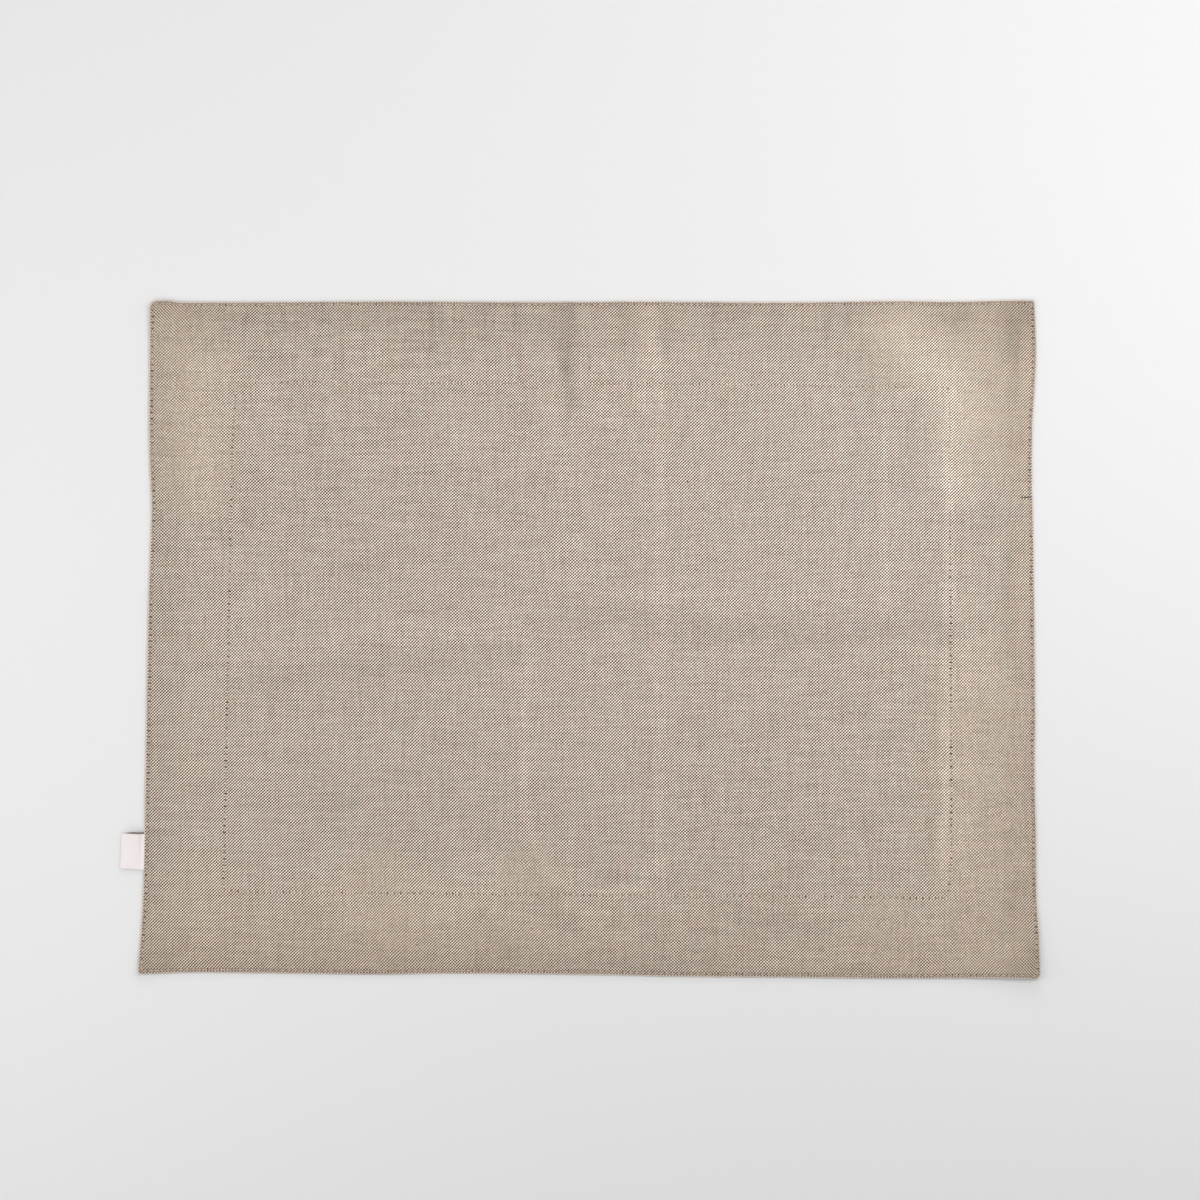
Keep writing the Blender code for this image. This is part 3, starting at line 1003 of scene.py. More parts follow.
        # The threads go on round the rim, so they are counted at places moved outwards by
        # what the rim's arc is longer than its plan.
        longer = self.rim[0] * (np.arcsin(outside[..., 0]) - outside[..., 0])
        centre_ward = flat - np.clip(flat, *self._inner_box())
        outward = centre_ward / np.maximum(np.linalg.norm(centre_ward, axis=1, keepdims=True), 1e-9)
        counted = self.weave.count(flat + outward * longer.reshape(-1, 1), self.plan)
        kept = {
            "threads": np.column_stack([counted, above.ravel()]),
            "edge": np.column_stack([edge_run, edge_offset, self.edge_show(flat)]),
            "hem": np.column_stack([hem_run, hem_offset, self.hem_show(hem_run)]),
            # the painted light and shade, how far the cloth has rubbed smooth, and the lean
            "painted_shading": np.column_stack([self.painted_shading(flat), self.calm(flat), self.lean(flat)]),
            "warmth": self.warmth(flat),
        }
        for name, values in kept.items():
            store_vectors(made, name, values[grid_number])
        low, high = flat.min(axis=0), flat.max(axis=0)
        store_layout(made, ((flat - low) / (high - low))[grid_number])
        return made

    def _inner_box(self) -> tuple[Array, Array]:
        """The lowest and highest corner of the plan's part inside its rounded corners."""
        corners = np.array([self.plan.corner(place) for place in Place])
        rounding = 2 * max(corner.radius for corner in self.plan.corners.values())
        return corners.min(axis=0) + rounding, corners.max(axis=0) - rounding

    def edge_show(self, points: Array) -> Array:
        """How plainly the edge stitching's band shows: fully along the two long sides, and
        less along the short ones."""
        short, long, reach = self.edge_shows
        long_inset = self.plan.insets(points)[2:].min(axis=0)
        return short + (long - short) * bump(np.maximum(long_inset, 0), reach)

    def hem_show(self, run: Array) -> Array:
        """How plainly the inner stitching shows at lengths along it."""
        return np.interp(run / self.hem_path().run[-1], *np.array(self.hem_shows).T)

    def painted_shading(self, points: Array) -> Array:
        """How much lighter or darker the cloth is painted, as a share: its marks of painted light and
        shade together, painted shade in bands along its sides, and painted shade to the left and
        towards the near side."""
        painted_shading = traced(points, self.painted_light_marks) / 100
        insets = dict(zip(Side, self.plan.insets(points), strict=True))
        # painted shade in bands along the sides
        for side, darker, reach in self.painted_edge_shade:
            painted_shading -= darker * bump(insets[side], reach)
        # painted shade to the left and towards the near side
        darker, over = self.painted_falloff
        return painted_shading - darker * smooth_step(0, over, -points).sum(axis=1)

    def calm(self, points: Array) -> Array:
        """How far the cloth has rubbed smooth, from 0 to 1, so that its two tones part less."""
        return np.minimum(traced(points, self.rubbed_marks) / 100, 1)

    def lean(self, points: Array) -> Array:
        """Which way the weave seems to run: 1 up to the right, -1 down to the right.

        The threads have slid a little everywhere, more in two quarters of the mat, and
        otherwise round two of its corners, whose tips are turned up.
        """
        all_over, more, nearly = self.leaning
        lean = all_over + more * np.tanh(points.prod(axis=1) / nearly)
        for place, reach, own in self.slides:
            lean += own * bump(self.plan.away(points, place), reach)
        return lean

    def warmth(self, points: Array) -> Array:
        """What the light on the cloth is multiplied by in red, green and blue: warmest along
        the near side, more so to the left, and cooler in the far right part."""
        reach = np.array(self.warm_reach)[:, None]
        sides = bump(np.maximum(self.plan.insets(points), 0), reach)
        x, all_over = points[:, 0], np.ones(len(points))
        *middle, reach = self.cool_place
        cool = bump(np.linalg.norm(points - middle, axis=1), reach)
        places = np.array([*sides, sides[3] * x, cool, all_over])
        red, yellow = np.array([self.red, self.yellow]) @ places
        return np.column_stack([1 + red, all_over, 1 - yellow])


# ---------------------------------------------------------------- the sewing


class Face(Enum):
    """The face of the mat that a thread lies on."""

    UPPER = 1
    UNDER = -1


@dataclass
class Sewing:
    """A line of lockstitch: a thread on each face, which dives into the cloth between
    stitches."""

    name: str
    mat: Mat
    path: SewnPath
    offsets: Pair  # of the line from the edge's and the hem's own lines
    section: Pair = (0.00023, 0.00016)  # half its width and half its height
    crest: float = 0.00010  # how far the thread's middle stands over the cloth
    dip: float = 0.00042  # how far below it the ends are
    slant: float = 0.00012  # how far to the sides of the line its ends are
    wander: float = 0.00004  # and how far the whole of it is, more or less
    # The least and the most of a stitch's length, crest and girth, as shares.
    lengths: Pair = (0.93, 1.0)
    crests: Pair = (0.7, 1.2)
    girths: Pair = (0.88, 1.1)
    clearance: float = 1.05  # of an under thread's middle from the table, in half heights
    rings: int = 7
    sides: int = 6
    seed: int = 3

    def surface(self, points: Array, face: Face) -> Array:
        """The height of that face of the cloth at the bottom of its groove."""
        drawn = self.mat.grooves(*np.array(self.offsets))
        lift = self.mat.lift(points)
        if face is Face.UPPER:
            return lift + self.mat.thickness(points) - drawn
        return lift + self.mat.under_share * drawn

    def stitches(self, face: Face) -> tuple[Array, Array]:
        """The threads of one face.

        A stitch runs over t from -1 to 1 from one needle hole to the next. Its height over
        the cloth is crest - (crest + dip) t^8, its thickness falls by 1 - t^6 / 2, and its
        section is an ellipse about it.

        Args:
            face: of the mat.

        Returns:
            (stitches, rings, sides, 3) points, and each stitch's own tone.
        """
        random = np.random.default_rng(self.seed + face.value)
        count = self.path.stitches
        t = np.linspace(-1, 1, self.rings)
        half_step = 0 if face is Face.UPPER else 0.5
        centre = (np.arange(count) + half_step)[:, None] + 0.5
        run = (centre + t / 2 * random.uniform(*self.lengths, (count, 1))) * self.path.pitch
        run = run % self.path.run[-1]
        across = self.path.sideways(run)
        wander = random.normal(0, self.wander, (count, 1)) + t * self.slant
        line = self.path.at(run) + across * wander[..., None]
        crest = self.crest * random.uniform(*self.crests, (count, 1))
        height = self.surface(line, face) + (crest - (self.crest + self.dip) * t**8) * face.value
        if face is Face.UNDER:
            clear = self.section[1] * self.clearance
            height = np.maximum(height, clear + self.mat.lift(line))
        girth = (1 - t**6 / 2) * random.uniform(*self.girths, (count, 1))
        points = rings_about(line, height, across, girth, self.section, self.sides)
        return points, random.uniform(0, 1, count)

    def build(self) -> bpy.types.Object:
        """Joins the threads of both faces into one piece."""
        upper, under = (self.stitches(face) for face in Face)
        points, own = (np.concatenate(both) for both in zip(upper, under, strict=True))
        along = np.linspace(-1, 1, self.rings) * self.path.pitch / 2
        return closed_tubes(self.name, points, along, own)


@dataclass
class Slubs:
    """Thick and odd-coloured bits of thread caught in the upper face of the weave.

    Each is a tube along X or Y whose girth falls as sqrt(1 - t^2) to next to nothing at
    both ends.
    """

    mat: Mat
    # Place in millimetres, length along X and along Y, thickness, and tone from dark to pale.
    bits: tuple = (
        (244.9, 79.3, 7.2, 0.5, 0.85, 0.0),
        (200.6, 140.1, 1.1, 0.6, 1.0, 0.0),
        (55.2, 88.0, 0.9, 0.9, 0.5, 0.0),
        (174.6, 163.0, 1.1, 0.5, 0.36, 1.0),
        (170.2, -125.4, 0.5, 0.9, 0.32, 1.0),
        (233.5, -171.4, 1.1, 0.6, 0.38, 1.0),
        (207.2, -158.5, 1.0, 0.5, 0.34, 1.0),
        (-96.3, -170.8, 0.8, 0.6, 0.42, 0.0),
        (-31.9, -161.9, 0.6, 0.8, 0.38, 0.1),
        (0.3, 151.8, 0.5, 0.9, 0.42, 0.0),
        (-182.8, 64.2, 0.9, 0.5, 0.36, 0.1),
        (11.2, 19.0, 0.7, 0.6, 0.34, 0.1),
    )
    section: Pair = (1.0, 0.6)
    blunt: float = 0.05  # girth of the ends, as a share
    rings: int = 9
    sides: int = 8

    def build(self) -> bpy.types.Object:
        """Lays each bit half into the cloth."""
        bits = np.array(self.bits)
        t = np.linspace(-1, 1, self.rings)
        half = bits[:, 2:4] / 2 * MM
        half_length = np.linalg.norm(half, axis=1, keepdims=True)
        line = (bits[:, :2] * MM)[:, None] + half[:, None] * t[:, None]
        across = (half[:, ::-1] * (-1, 1) / half_length)[:, None]
        girth = bits[:, 4, None] / 2 * MM * np.maximum(np.sqrt(1 - t * t), self.blunt)
        height = self.mat.lift(line) + self.mat.thickness(line)
        points = rings_about(line, height, across, girth, self.section, self.sides)
        return closed_tubes("slubs", points, t * half_length, bits[:, 5])


# ---------------------------------------------------------------- the label


@dataclass
class Label:
    """A short woven tape, folded over at its outer end, whose two ends are sewn into the
    left side of the mat."""

    plan: Plan
    width: float = 0.0199
    reach: float = 0.0122  # out from the side
    caught: float = 0.0013  # of each end, held inside the seam
    place: float = 0.818  # of the way along the left side
    turn: float = math.radians(-2.6)
    gap: float = 0.0006
    thickness: float = 0.00036
    rim: float = 0.00016
    middle: float = 0.00054  # height between the two layers
    fold: float = 0.00032  # radius of the folded end
    tilt: float = 0.16  # how much higher the far border is near the seam, over the width
    overhang: float = 0.0011  # of the lower layer, beyond the upper one's far border
    upper_at_seam: float = 0.00074
    lower_at_seam: float = 0.00036
    easing: float = 0.0030  # how far out the layers take to part
    crease: Triple = (0.0024, 0.0012, 0.00009)  # place, reach, depth
    cupping: float = 0.00012
    # How far apart the grid's lines are at the borders, how fast that grows, and the most.
    grid: Triple = (0.00003, 0.3, 0.00035)

    @property
    def straight(self) -> float:
        """The length of each layer, from its caught end to where the fold begins."""
        return self.reach - self.fold - self.thickness / 2 + self.caught

    @property
    def length(self) -> float:
        """Of the tape, laid out flat."""
        return 2 * self.straight + math.pi * self.fold

    def middle_surface(self, along: Array, across: Array) -> Array:
        """The surface midway through the tape.

        From the seam the lower layer runs straight out, rounds the folded end on a half
        circle, and comes straight back above. The layers start close together and part as
        they leave the seam, the tape's sides turn up a little, and a crease crosses the
        upper layer near the seam. The far border stands off the table, and there the lower
        layer shows beyond the upper one.

        Args:
            along: length along the tape from its lower end, (rows, 1).
            across: from the tape's middle, (1, columns).

        Returns:
            (rows, columns, 3) points, with the seam at the origin.
        """
        straight, arc = self.straight, math.pi * self.fold
        angle = np.clip((along - straight) / self.fold, 0, math.pi)
        upper = along > straight + arc
        length = np.where(upper, 2 * straight + arc - along, np.minimum(along, straight))
        out = length - self.caught + self.fold * np.sin(angle)
        parted = smooth_step(0, self.easing, out)
        at_seam = np.where(along > straight + arc / 2, self.upper_at_seam, self.lower_at_seam)
        height = at_seam + (self.middle - self.fold * np.cos(angle) - at_seam) * parted
        place, reach, depth = self.crease
        height = height - depth * bump(np.abs(out - place), reach) * upper
        cup = self.cupping * (2 * across / self.width) ** 2 * parted
        raised = parted * (1 - np.clip(out / self.reach, 0, 1) ** 2)
        cup = cup + self.tilt * (across + self.width / 2) * raised
        across = across + self.overhang * smooth_step(0, 0.5, 1 - along / straight)
        return np.dstack(np.broadcast_arrays(-out, across, height + cup))

    def lines(self, length: float) -> Array:
        """The grid's lines over a length of the tape, closer at its borders."""
        least, growth, most = self.grid
        return spaced_lines(
            length,
            lambda place: np.minimum(least + growth * np.minimum(place, length - place), most),
        )

    def build(self) -> bpy.types.Object:
        """Makes the tape: its middle surface, moved to each side along its normal by half
        its thickness, which falls on a quarter ellipse to nothing at its borders."""
        along, across = self.lines(self.length)[:, None], self.lines(self.width)[None, :]
        surface = self.middle_surface(along, across - self.width / 2)
        cos, sin = math.cos(self.turn), math.sin(self.turn)
        seam = self.plan.side(Side.LEFT, np.array([self.place]))[0]
        turned = surface[..., :2] @ np.array([[cos, sin], [-sin, cos]])
        surface[..., :2] = turned + seam - (self.gap, 0)

        by_along = np.gradient(surface, along[:, 0], axis=0)
        by_across = np.gradient(surface, across[0], axis=1)
        normal = np.cross(by_along, by_across)
        normal /= np.linalg.norm(normal, axis=-1, keepdims=True)
        border = np.minimum(
            np.minimum(along, self.length - along), np.minimum(across, self.width - across)
        )
        outside = np.clip(1 - border / self.rim, 0, 1)
        out = normal * (self.thickness / 2 * np.sqrt(1 - outside**2))[..., None]
        made, grid_number = closed_sheet("folded_tape", surface + out, surface - out)
        tape = np.dstack(np.broadcast_arrays(along, across, border)).reshape(-1, 3)[grid_number]
        store_vectors(made, "tape", tape)
        store_layout(made, tape[:, :2] / [self.length, self.width])
        return made


# ---------------------------------------------------------------- finishes


@dataclass(frozen=True)
class ClothFinish:
    """Plain weave of cream and taupe yarns, uneven and a little hairy.

    Scales are for each thread of the weave, and distances from the stitching are in metres.
    """

    cream: Colour = (0.984, 0.890, 0.788)
    cream_shade: Colour = (0.890, 0.780, 0.658)
    taupe: Colour = (0.050, 0.012, 0.003)
    taupe_pale: Colour = (0.086, 0.026, 0.006)
    rubbed: Colour = (0.485, 0.386, 0.292)
    pinkish: Colour = (1.021, 0.992, 0.990)
    greenish: Colour = (0.988, 1.002, 0.998)
    # painted shade in the needle holes
    hole_shade: Colour = (0.082, 0.038, 0.021)
    # reddish brown along the stitching, partly painted shade in its groove
    stitch_band_and_shade: Colour = (0.290, 0.185, 0.135)
    # painted highlight on the rounded shoulder of the edge, where it catches light from the side
    rim: Colour = (0.980, 0.880, 0.800)
    # How often along and across, and how far, the threads wander: all over, then more where
    # the cloth has rubbed smooth.
    wander: Triple = (0.021, 0.023, 1.1)
    slip: Triple = (0.10, 0.11, 1.3)
    lean_wander: float = 0.15
    parting: float = 0.04  # how sharply one yarn gives way to the other
    narrower: float = 0.033  # how much less of the cream yarn shows than of the taupe one
    slub: Pair = (0.18, 0.34)  # how uneven the yarns are, down and across
    strays: Pair = (0.10, 0.12)  # and single crossings, and how much more if rubbed
    fading: float = 0.30  # how far rubbed cloth takes on its own colour
    # painted shade between the yarns
    shading: float = 0.24  # how much darker it is between the yarns than on them
    mean_crossing: float = 0.52
    yarn_noise: Triple = (5.17, 0.038, 2.5)  # across, along, and detail
    yarn_seeds: tuple[float, ...] = (0.0, 37.0, 71.0, 113.0)
    cream_tones: Pair = (0.20, 0.60)  # noise at which a yarn is shaded, and full
    taupe_tones: Pair = (0.30, 0.70)
    blush_scale: float = 0.11
    hairs: Pair = (7.0, 1.6)  # how often across a yarn and along it
    hairy: float = 0.2  # how much the hairs change the light and the height
    cloudy: float = 0.04
    crown: float = 0.00018  # how far each crossing stands proud
    roughness: Pair = (0.86, 0.14)  # and how much the hairs change it
    # The band along the two lines of stitching, partly reddish brown and partly painted shade in its
    # groove: the distances between which it fades, and how much of it there is.
    edge_band: Triple = (0.0003, 0.0013, 0.50)
    hem_band: Triple = (0.0003, 0.0012, 0.10)
    # Where the painted highlight on the rounded rim lies, and how much of it there is.
    highlight_beyond: Pair = (0.0011, 0.0016)  # outside the edge's stitching
    highlight_height: Pair = (0.35, 0.75)  # as shares of the rounding
    highlight_share: float = 0.92
    hole_fade: Pair = (0.00040, 0.00064)  # distances from a hole's middle
    hole_shape: Pair = (1.25, 0.8)  # what length along counts for, and squared length across
    hole_sizes: Pair = (0.0004, 0.0005)  # by chance, and by how they show
    hole_shade_share: float = 0.95
    # How plainly the holes show: so much for how plainly their line does, and so much besides.
    edge_holes: Pair = (-1.1, 1.2)
    hem_holes: Pair = (0.9, 0.03)

    def yarn(self, nodes: Nodes, across: Socket, along: Socket, number: float) -> Socket:
        """How thick and how pale a yarn is: noise drawn out along it, another for each yarn."""
        by_across, by_along, detail = self.yarn_noise
        return nodes.noise(nodes.join(across * by_across + number, along * by_along), detail=detail)

    def holes(
        self, nodes: Nodes, run: Socket, offset: Socket, pitch: float, show: Socket
    ) -> Socket:
        """1 in the needle holes, which lie at whole numbers of stitches along the line. Each
        is of its own size, and they are larger the more plainly they are to show."""
        stitch = run / pitch + 0.5
        own = nodes.speckle(nodes.join(stitch.floor(), 0.5))
        along = abs(stitch.fraction() - 0.5) * (pitch * self.hole_shape[0])
        away = (along * along + offset * offset * self.hole_shape[1]).root()
        larger = (own - 0.5) * self.hole_sizes[0] + (show - 0.85) * self.hole_sizes[1]
        return (away - larger).fall(*self.hole_fade)

    def threads(self, nodes: Nodes, p: Socket, q: Socket, calm: Socket) -> tuple[Socket, Socket]:
        """Moves the counts of threads by noise: all over, and more where the cloth is rubbed."""
        place = nodes.join(p, q)
        for along, across, by in (self.wander, (*self.slip[:2], calm * self.slip[2])):
            p = p + nodes.uneven(place, by, scale=along)
            q = q + nodes.uneven(nodes.join(q, p), by, scale=across)
        return p, q

    def sewn(self, nodes: Nodes, colour: Socket, rounded: Socket, pitches: tuple) -> tuple:
        """Adds what the stitching does to the colour.

        Args:
            nodes: of the material.
            colour: of the cloth.
            rounded: how far up the rounded rim a point is.
            pitches: of the edge's and the inner stitching.

        Returns:
            The colour, and 1 in the needle holes.
        """
        edge_run, edge_offset, edge_show = nodes.stored("edge")
        hem_run, hem_offset, hem_show = nodes.stored("hem")
        *fades, share = self.edge_band
        # the band along the edge stitching: reddish brown, partly painted shade in its groove
        colour = nodes.mix(abs(edge_offset).fall(*fades) * edge_show * share, colour, self.stitch_band_and_shade)
        # painted highlight on the rounded shoulder beyond the edge stitching
        rim_highlight = edge_offset.rise(*self.highlight_beyond) * rounded.rise(*self.highlight_height)
        colour = nodes.mix(rim_highlight * self.highlight_share, colour, self.rim)
        *fades, share = self.hem_band
        colour = nodes.mix(abs(hem_offset).fall(*fades) * hem_show * share, colour, self.stitch_band_and_shade)
        by, more = self.edge_holes
        at_edge = self.holes(nodes, edge_run, edge_offset, pitches[0], edge_show * by + more)
        by, more = self.hem_holes
        at_hem = self.holes(nodes, hem_run, hem_offset, pitches[1], hem_show * by + more)
        return colour, at_edge.at_least(at_hem)

    def material(self, edge_pitch: float, hem_pitch: float) -> bpy.types.Material:
        """Works out the cloth.

        With p and q the counts of threads across and down, the cream yarn is on top where
        cos(pi p) cos(pi q) is above 0, and the taupe one where it is below. That product is
        half the sum of cos(pi (p + q)) and cos(pi (p - q)), and where the threads have slid
        one of the two weighs more.

        Args:
            edge_pitch: of the edge stitching.
            hem_pitch: of the inner stitching.

        Returns:
            The material.
        """
        nodes = Nodes("woven_cloth")
        p, q, rounded = nodes.stored("threads")
        painted_shading, calm, lean = nodes.stored("painted_shading")
        place = nodes.join(p, q)
        p, q = self.threads(nodes, p, q, calm)
        lean = lean + nodes.uneven(place, self.lean_wander, scale=0.02, detail=2.0)
        slash, back = ((p + q) * math.pi).cos(), ((p - q) * math.pi).cos()
        over = (slash * (1 + lean) + back * (1 - lean)) * 0.5

        column, row = (p + 0.5).floor(), (q + 0.5).floor()
        seeds = self.yarn_seeds
        warp, weft = self.yarn(nodes, column, q, seeds[0]), self.yarn(nodes, row, p, seeds[1])
        speck = nodes.speckle(nodes.join(column, row))
        uneven = (warp - 0.5) * self.slub[0] - (weft - 0.5) * self.slub[1]
        strays = (speck - 0.5) * (self.strays[0] + calm * self.strays[1])
        over = over + uneven + strays - self.narrower
        cream_share = over.rise(-self.parting, self.parting)

        warp_tone = self.yarn(nodes, column + 0.31, q, seeds[2]).rise(*self.cream_tones)
        weft_tone = self.yarn(nodes, row + 0.31, p, seeds[3]).rise(*self.taupe_tones)
        cream = nodes.mix(warp_tone, self.cream_shade, self.cream)
        taupe = nodes.mix(weft_tone, self.taupe, self.taupe_pale)
        colour = nodes.mix(cream_share, taupe, cream)
        colour = nodes.mix(calm * self.fading, colour, self.rubbed)
        blush = nodes.noise(nodes.join(p, q + 300.0), scale=self.blush_scale, detail=3.0)
        blush = nodes.mix(blush.rise(0.3, 0.7), self.greenish, self.pinkish)
        colour = nodes.tinted(colour, blush)
        colour = nodes.tinted(colour, nodes.join(*nodes.stored("warmth")))

        often, seldom = self.hairs
        fibre = nodes.noise(nodes.join(p * often, q * seldom), detail=2.0)
        cross_fibre = nodes.noise(nodes.join(p * seldom, q * often), detail=2.0)
        hair = fibre * cream_share + cross_fibre * (1 - cream_share)
        crossings = (abs((p * math.pi).cos()) * abs((q * math.pi).cos())).root()
        # painted shade between the yarns, and painted light on their crowns
        yarn_gap_shade = 1 + (crossings - self.mean_crossing) * self.shading
        clouds = 1 + nodes.uneven(place, self.cloudy, scale=0.05, detail=3.0)
        # the painted light and shade of the marks, bands and falloff, times random hairs and clouds
        # and the painted shade between the yarns
        shade = (1 + painted_shading) * (1 + (hair - 0.5) * self.hairy) * clouds * yarn_gap_shade

        colour, holes = self.sewn(nodes, colour, rounded, (edge_pitch, hem_pitch))
        # painted shade in the needle holes
        colour = nodes.mix(holes * self.hole_shade_share, nodes.scaled(colour, shade), self.hole_shade)
        height = crossings * (1 - self.hairy) + hair * self.hairy - holes
        return nodes.finish(
            colour,
            self.roughness[0] + (hair - 0.5) * self.roughness[1],
            nodes.relief(height, self.crown, strength=0.8),
            Sheen_Weight=0.12,
            Sheen_Roughness=0.6,
            Specular_IOR_Level=0.25,
        )


@dataclass(frozen=True)
class ThreadFinish:
    """A twisted yarn, whose plies wind round it and whose tone changes from piece to piece."""

    name: str
    dark: Colour
    pale: Colour
    ply_length: float = 0.0011  # along the yarn for one turn of its plies
    plies: int = 2
    relief: float = 0.00004
    tones: Triple = (0.7, 0.2, 0.4)  # its own, the plies' and the fibres'
    fibres: Pair = (9000.0, 6.0)  # for each metre, and for each turn round it
    roughness: Pair = (0.72, 0.2)  # and how much the fibres change it

    def material(self) -> bpy.types.Material:
        """Works out the yarn: ridges where the share of a turn round it plus the length
        along it over the ply's length is a whole number."""
        nodes = Nodes(self.name)
        along, turn, own = nodes.stored("strand")
        winding = turn * self.plies + along / self.ply_length
        ridge = (winding * (2 * math.pi)).cos() * 0.5 + 0.5
        fibre = nodes.noise(nodes.join(along * self.fibres[0], turn * self.fibres[1]), detail=2.0)
        share = own * self.tones[0] + ridge * self.tones[1] + (fibre - 0.5) * self.tones[2]
        return nodes.finish(
            nodes.mix(share, self.dark, self.pale),
            self.roughness[0] + (fibre - 0.5) * self.roughness[1],
            nodes.relief(ridge * 0.8 + fibre * 0.2, self.relief),
            Sheen_Weight=0.1,
            Specular_IOR_Level=0.3,
        )


@dataclass(frozen=True)
class TapeFinish:
    """Off-white satin tape: fine ribs across it, threads along it, firmer borders, and painted shade
    where the lower layer shows beyond the upper one."""

    ground: Colour = (0.905, 0.835, 0.835)
    rib_shade: Colour = (0.760, 0.680, 0.680)
    rib_pitch: float = 0.00026
    thread_pitch: float = 0.00017
    border: float = 0.0009
    relief: float = 0.00003
    # painted shade where the lower layer shows beyond the upper one
    gap_shade: Colour = (0.155, 0.115, 0.085)
    # How much the ribs, the threads, the unevenness and the border darken it.
    shades: tuple[float, ...] = (0.25, 0.12, 0.5, 0.15)
    unevenness: Pair = (2600.0, 900.0)  # for each metre along and across
    roughness: Pair = (0.55, 0.3)
    gap_shade_fade: float = 0.0003

    def material(self, straight: float, far_border: float) -> bpy.types.Material:
        """Works out the tape: ribs are a cosine of the length along it, threads a cosine of
        the place across it, and both are uneven by noise.

        Args:
            straight: length of the lower layer.
            far_border: place across the tape beyond which that layer is painted with shade, where it
                shows from under the upper one.

        Returns:
            The material.
        """
        nodes = Nodes("satin_tape")
        along, across, edge = nodes.stored("tape")
        by_along, by_across = self.unevenness
        uneven = nodes.noise(nodes.join(along * by_along, across * by_across), detail=3.0)
        ribs = ((along / self.rib_pitch + uneven) * (2 * math.pi)).cos() * 0.5 + 0.5
        threads = (across / self.thread_pitch * (2 * math.pi)).cos() * 0.5 + 0.5
        firm = edge.fall(self.border * 0.7, self.border)
        rib, thread, noise, border = self.shades
        share = ribs * rib + threads * thread + (uneven - 0.5) * noise + firm * border
        colour = nodes.mix(share, self.ground, self.rib_shade)
        # painted shade on the lower layer beyond the upper one's far border
        lower = along.fall(straight * 0.97, straight)
        shaded_gap = across.rise(far_border - self.gap_shade_fade, far_border) * lower
        return nodes.finish(
            nodes.mix(shaded_gap * (0.8 + ribs * 0.2), colour, self.gap_shade),
            self.roughness[0] + (uneven - 0.5) * self.roughness[1],
            nodes.relief(ribs * 0.5 + threads * 0.3 + firm * 0.4, self.relief),
            Sheen_Weight=0.2,
            Specular_IOR_Level=0.4,
        )


@dataclass(frozen=True)
class TableFinish:
    """A plain matt pale surface."""

    colour: Colour = (0.800, 0.797, 0.797)
    grain_shade: float = 0.985
    grain: float = 900.0  # for each metre
    relief: float = 0.00001
    roughness: Pair = (0.7, 0.1)

    def material(self) -> bpy.types.Material:
        """Works out the surface: its colour, with the faintest grain."""
        nodes = Nodes("pale_surface")
        place = nodes.value("Object", "ShaderNodeTexCoord")
        grain = nodes.noise(place, scale=self.grain, detail=3.0)
        shade = tuple(value * self.grain_shade for value in self.colour)
        return nodes.finish(
            nodes.mix(grain, self.colour, shade),
            self.roughness[0] + (grain - 0.5) * self.roughness[1],
            nodes.relief(grain, self.relief),
            Specular_IOR_Level=0.0,
        )


# ---------------------------------------------------------------- the studio


@dataclass(frozen=True)
class SoftLight:
    """A square area light, turned to a target on the table, from which it is seen at an
    azimuth and an elevation in degrees."""

    name: str
    azimuth: float
    elevation: float
    distance: float
    target: Pair = (0.0, 0.0)
    share: float = 1.0  # of the table's brightness, if it stood 1 m straight above it
    side: float = 0.8

    def place(self) -> Vector:
        """Where it hangs."""
        azimuth, elevation = math.radians(self.azimuth), math.radians(self.elevation)
        flat = self.distance * math.cos(elevation)
        away = (flat * math.cos(azimuth), flat * math.sin(azimuth))
        return Vector((*self.target, 0)) + Vector((*away, self.distance * math.sin(elevation)))


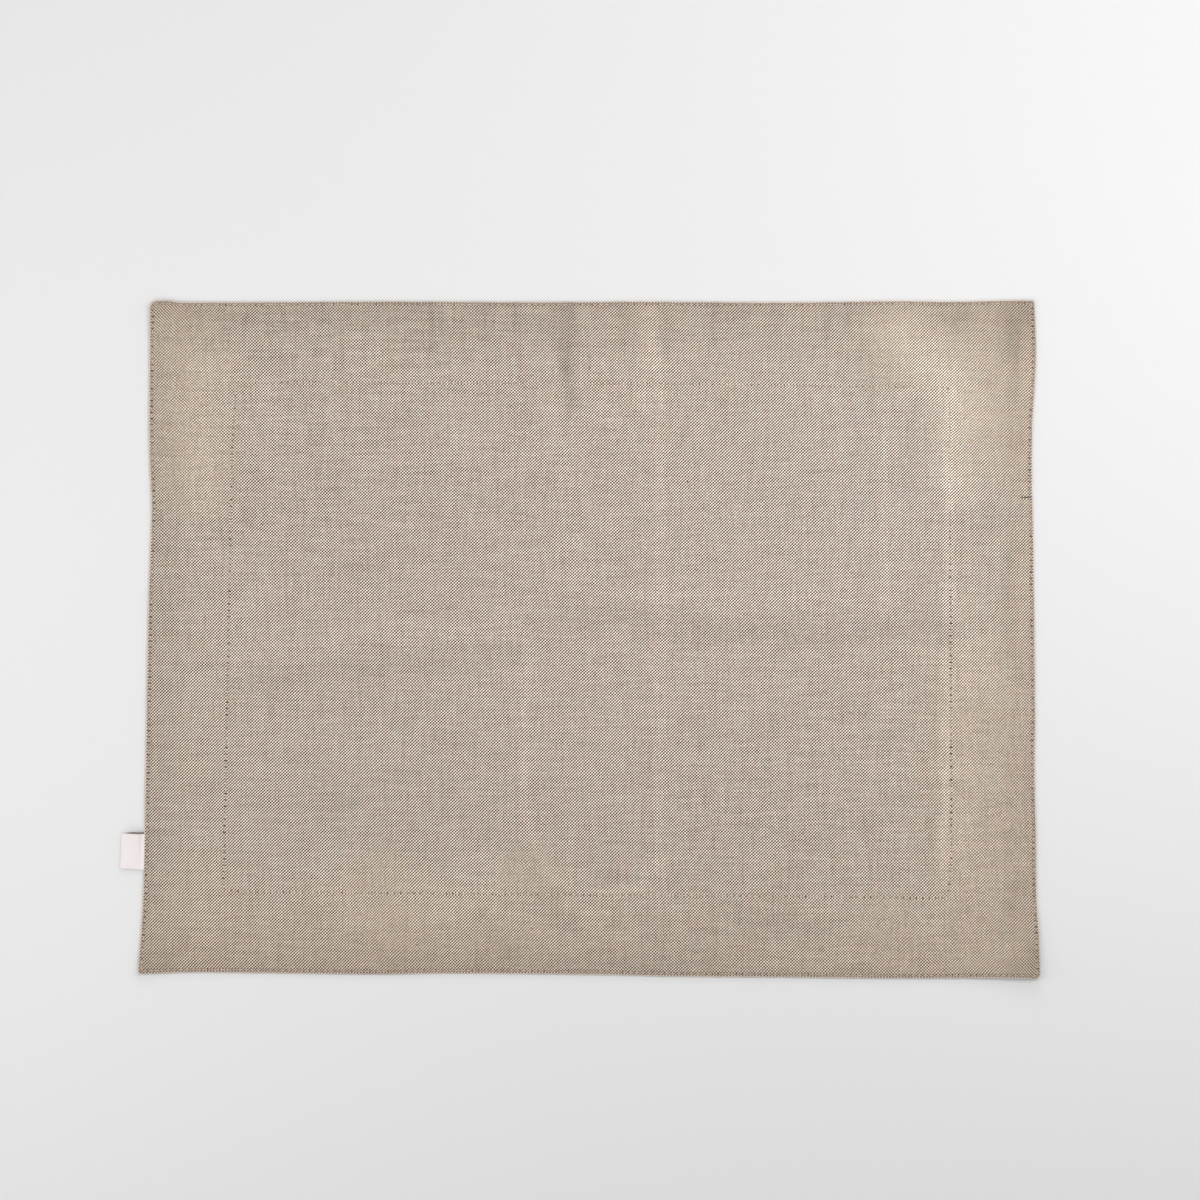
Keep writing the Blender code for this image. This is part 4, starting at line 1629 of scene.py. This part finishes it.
@dataclass
class Studio:
    """The pale surface under the mat, the light, and a camera straight above."""

    table: TableFinish = TableFinish()
    table_side: float = 12.0
    table_drop: float = 0.0001
    camera_place: Triple = (0.00616, 0.02184, 2.0)
    view_width: float = 0.672
    sensor: float = 36.0
    ambient: float = 0.20  # of the table's brightness that comes from all round
    lights: tuple[SoftLight, ...] = (
        SoftLight("key", 0, 72, 0.8, target=(0.4, 0.3), share=0.406),
        SoftLight("fill", -120, 60, 0.8, target=(-0.4, 0.3), share=0.257),
        SoftLight("low_right", 5, 17, 2.6, share=0.803),
        SoftLight("low_left", 175, 17, 2.6, share=0.814),
        SoftLight("low_far", 88, 20, 2.4, share=1.445),
        SoftLight("low_near", -90, 34, 2.4, share=0.709),
    )

    def build(self) -> None:
        """Sets up the surface, the light all round, the lights and the camera."""
        scene = bpy.context.scene
        half = self.table_side / 2
        lines = np.linspace(-half, half, 3)
        x, y = np.meshgrid(lines, lines[::-1])
        points = np.stack([x, y, np.full_like(x, -self.table_drop)], axis=-1)
        floor = new_mesh("floor", points.reshape(-1, 3), [grid_faces(3, 3)])
        floor.data.materials.append(self.table.material())

        albedo = self.table.colour[1]
        world = bpy.data.worlds.new("studio")
        world.use_nodes = True
        background = world.node_tree.nodes["Background"]
        background.inputs["Color"].default_value = (1, 1, 1, 1)
        background.inputs["Strength"].default_value = self.ambient / albedo
        scene.world = world
        for light in self.lights:
            self._hang(light, albedo)
        self._camera(scene)
        scene.view_settings.view_transform = "Standard"

    def _hang(self, light: SoftLight, albedo: float) -> None:
        """Hangs a light. A small lamp of power P, 1 m above a surface of that albedo, makes
        it as bright as albedo P / pi^2, so its power is share pi^2 / albedo."""
        lamp = bpy.data.lights.new(light.name, "AREA")
        lamp.shape = "SQUARE"
        lamp.size = light.side
        lamp.energy = light.share * math.pi**2 / albedo
        hung = bpy.data.objects.new(light.name, lamp)
        hung.location = light.place()
        aim = Vector((*light.target, 0.0)) - light.place()
        hung.rotation_euler = aim.to_track_quat("-Z", "Y").to_euler()
        hung.visible_camera = False
        bpy.context.scene.collection.objects.link(hung)

    def _camera(self, scene: bpy.types.Scene) -> None:
        """Hangs the camera over the middle of the view, with the far side of the mat up."""
        camera = bpy.data.cameras.new("camera")
        camera.sensor_width = self.sensor
        camera.lens = self.sensor * self.camera_place[2] / self.view_width
        camera.clip_end = 100.0
        eye = bpy.data.objects.new("camera", camera)
        eye.location = self.camera_place
        scene.collection.objects.link(eye)
        scene.camera = eye


# ---------------------------------------------------------------- the placemat


@dataclass
class Placemat:
    """The whole mat, each piece in the order it is sewn."""

    plan: Plan = field(default_factory=Plan)
    weave: Weave = field(default_factory=Weave)
    cloth: ClothFinish = ClothFinish()
    sewing_thread: ThreadFinish = ThreadFinish(
        "sewing_thread", dark=(0.420, 0.320, 0.250), pale=(0.740, 0.620, 0.530)
    )
    slub_yarn: ThreadFinish = ThreadFinish(
        "slub_yarn", dark=(0.035, 0.022, 0.015), pale=(0.840, 0.790, 0.720), ply_length=0.003
    )
    tape: TapeFinish = TapeFinish()

    def build(self) -> None:
        """Makes and dresses every piece."""
        mat = Mat(self.plan, self.weave)
        edge, hem = mat.edge_path(), mat.hem_path()
        cloth = self._dress(mat.build(), self.cloth.material(edge.pitch, hem.pitch))
        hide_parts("mat")

        far_off = 1.0
        thread = self.sewing_thread.material()
        sewn = [
            self._dress(sewing.build(), thread)
            for sewing in (
                Sewing("edge_stitches", mat, edge, offsets=(0.0, far_off), seed=3),
                Sewing("inner_stitches", mat, hem, offsets=(far_off, 0.0), seed=11),
            )
        ]
        slubs = self._dress(Slubs(mat).build(), self.slub_yarn.material())
        self.plan.length

        label = Label(self.plan)
        finish = self.tape.material(label.straight, label.width - label.overhang)
        tape = self._dress(label.build(), finish)
        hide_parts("label")
        label.length

    def _dress(
        self, piece: bpy.types.Object, material: bpy.types.Material
    ) -> bpy.types.Object:
        """Gives a piece its material and puts it on the mat's body."""
        piece.data.materials.append(material)
        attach(piece, BODY)
        log.info("%s: %d faces", piece.name, len(piece.data.polygons))
        return piece


def main() -> None:
    """Builds the placemat and the studio round it."""
    logging.basicConfig(level=logging.INFO, format="%(name)s: %(message)s")
    Placemat().build()
    Studio().build()


if __name__ == "__main__":
    main()
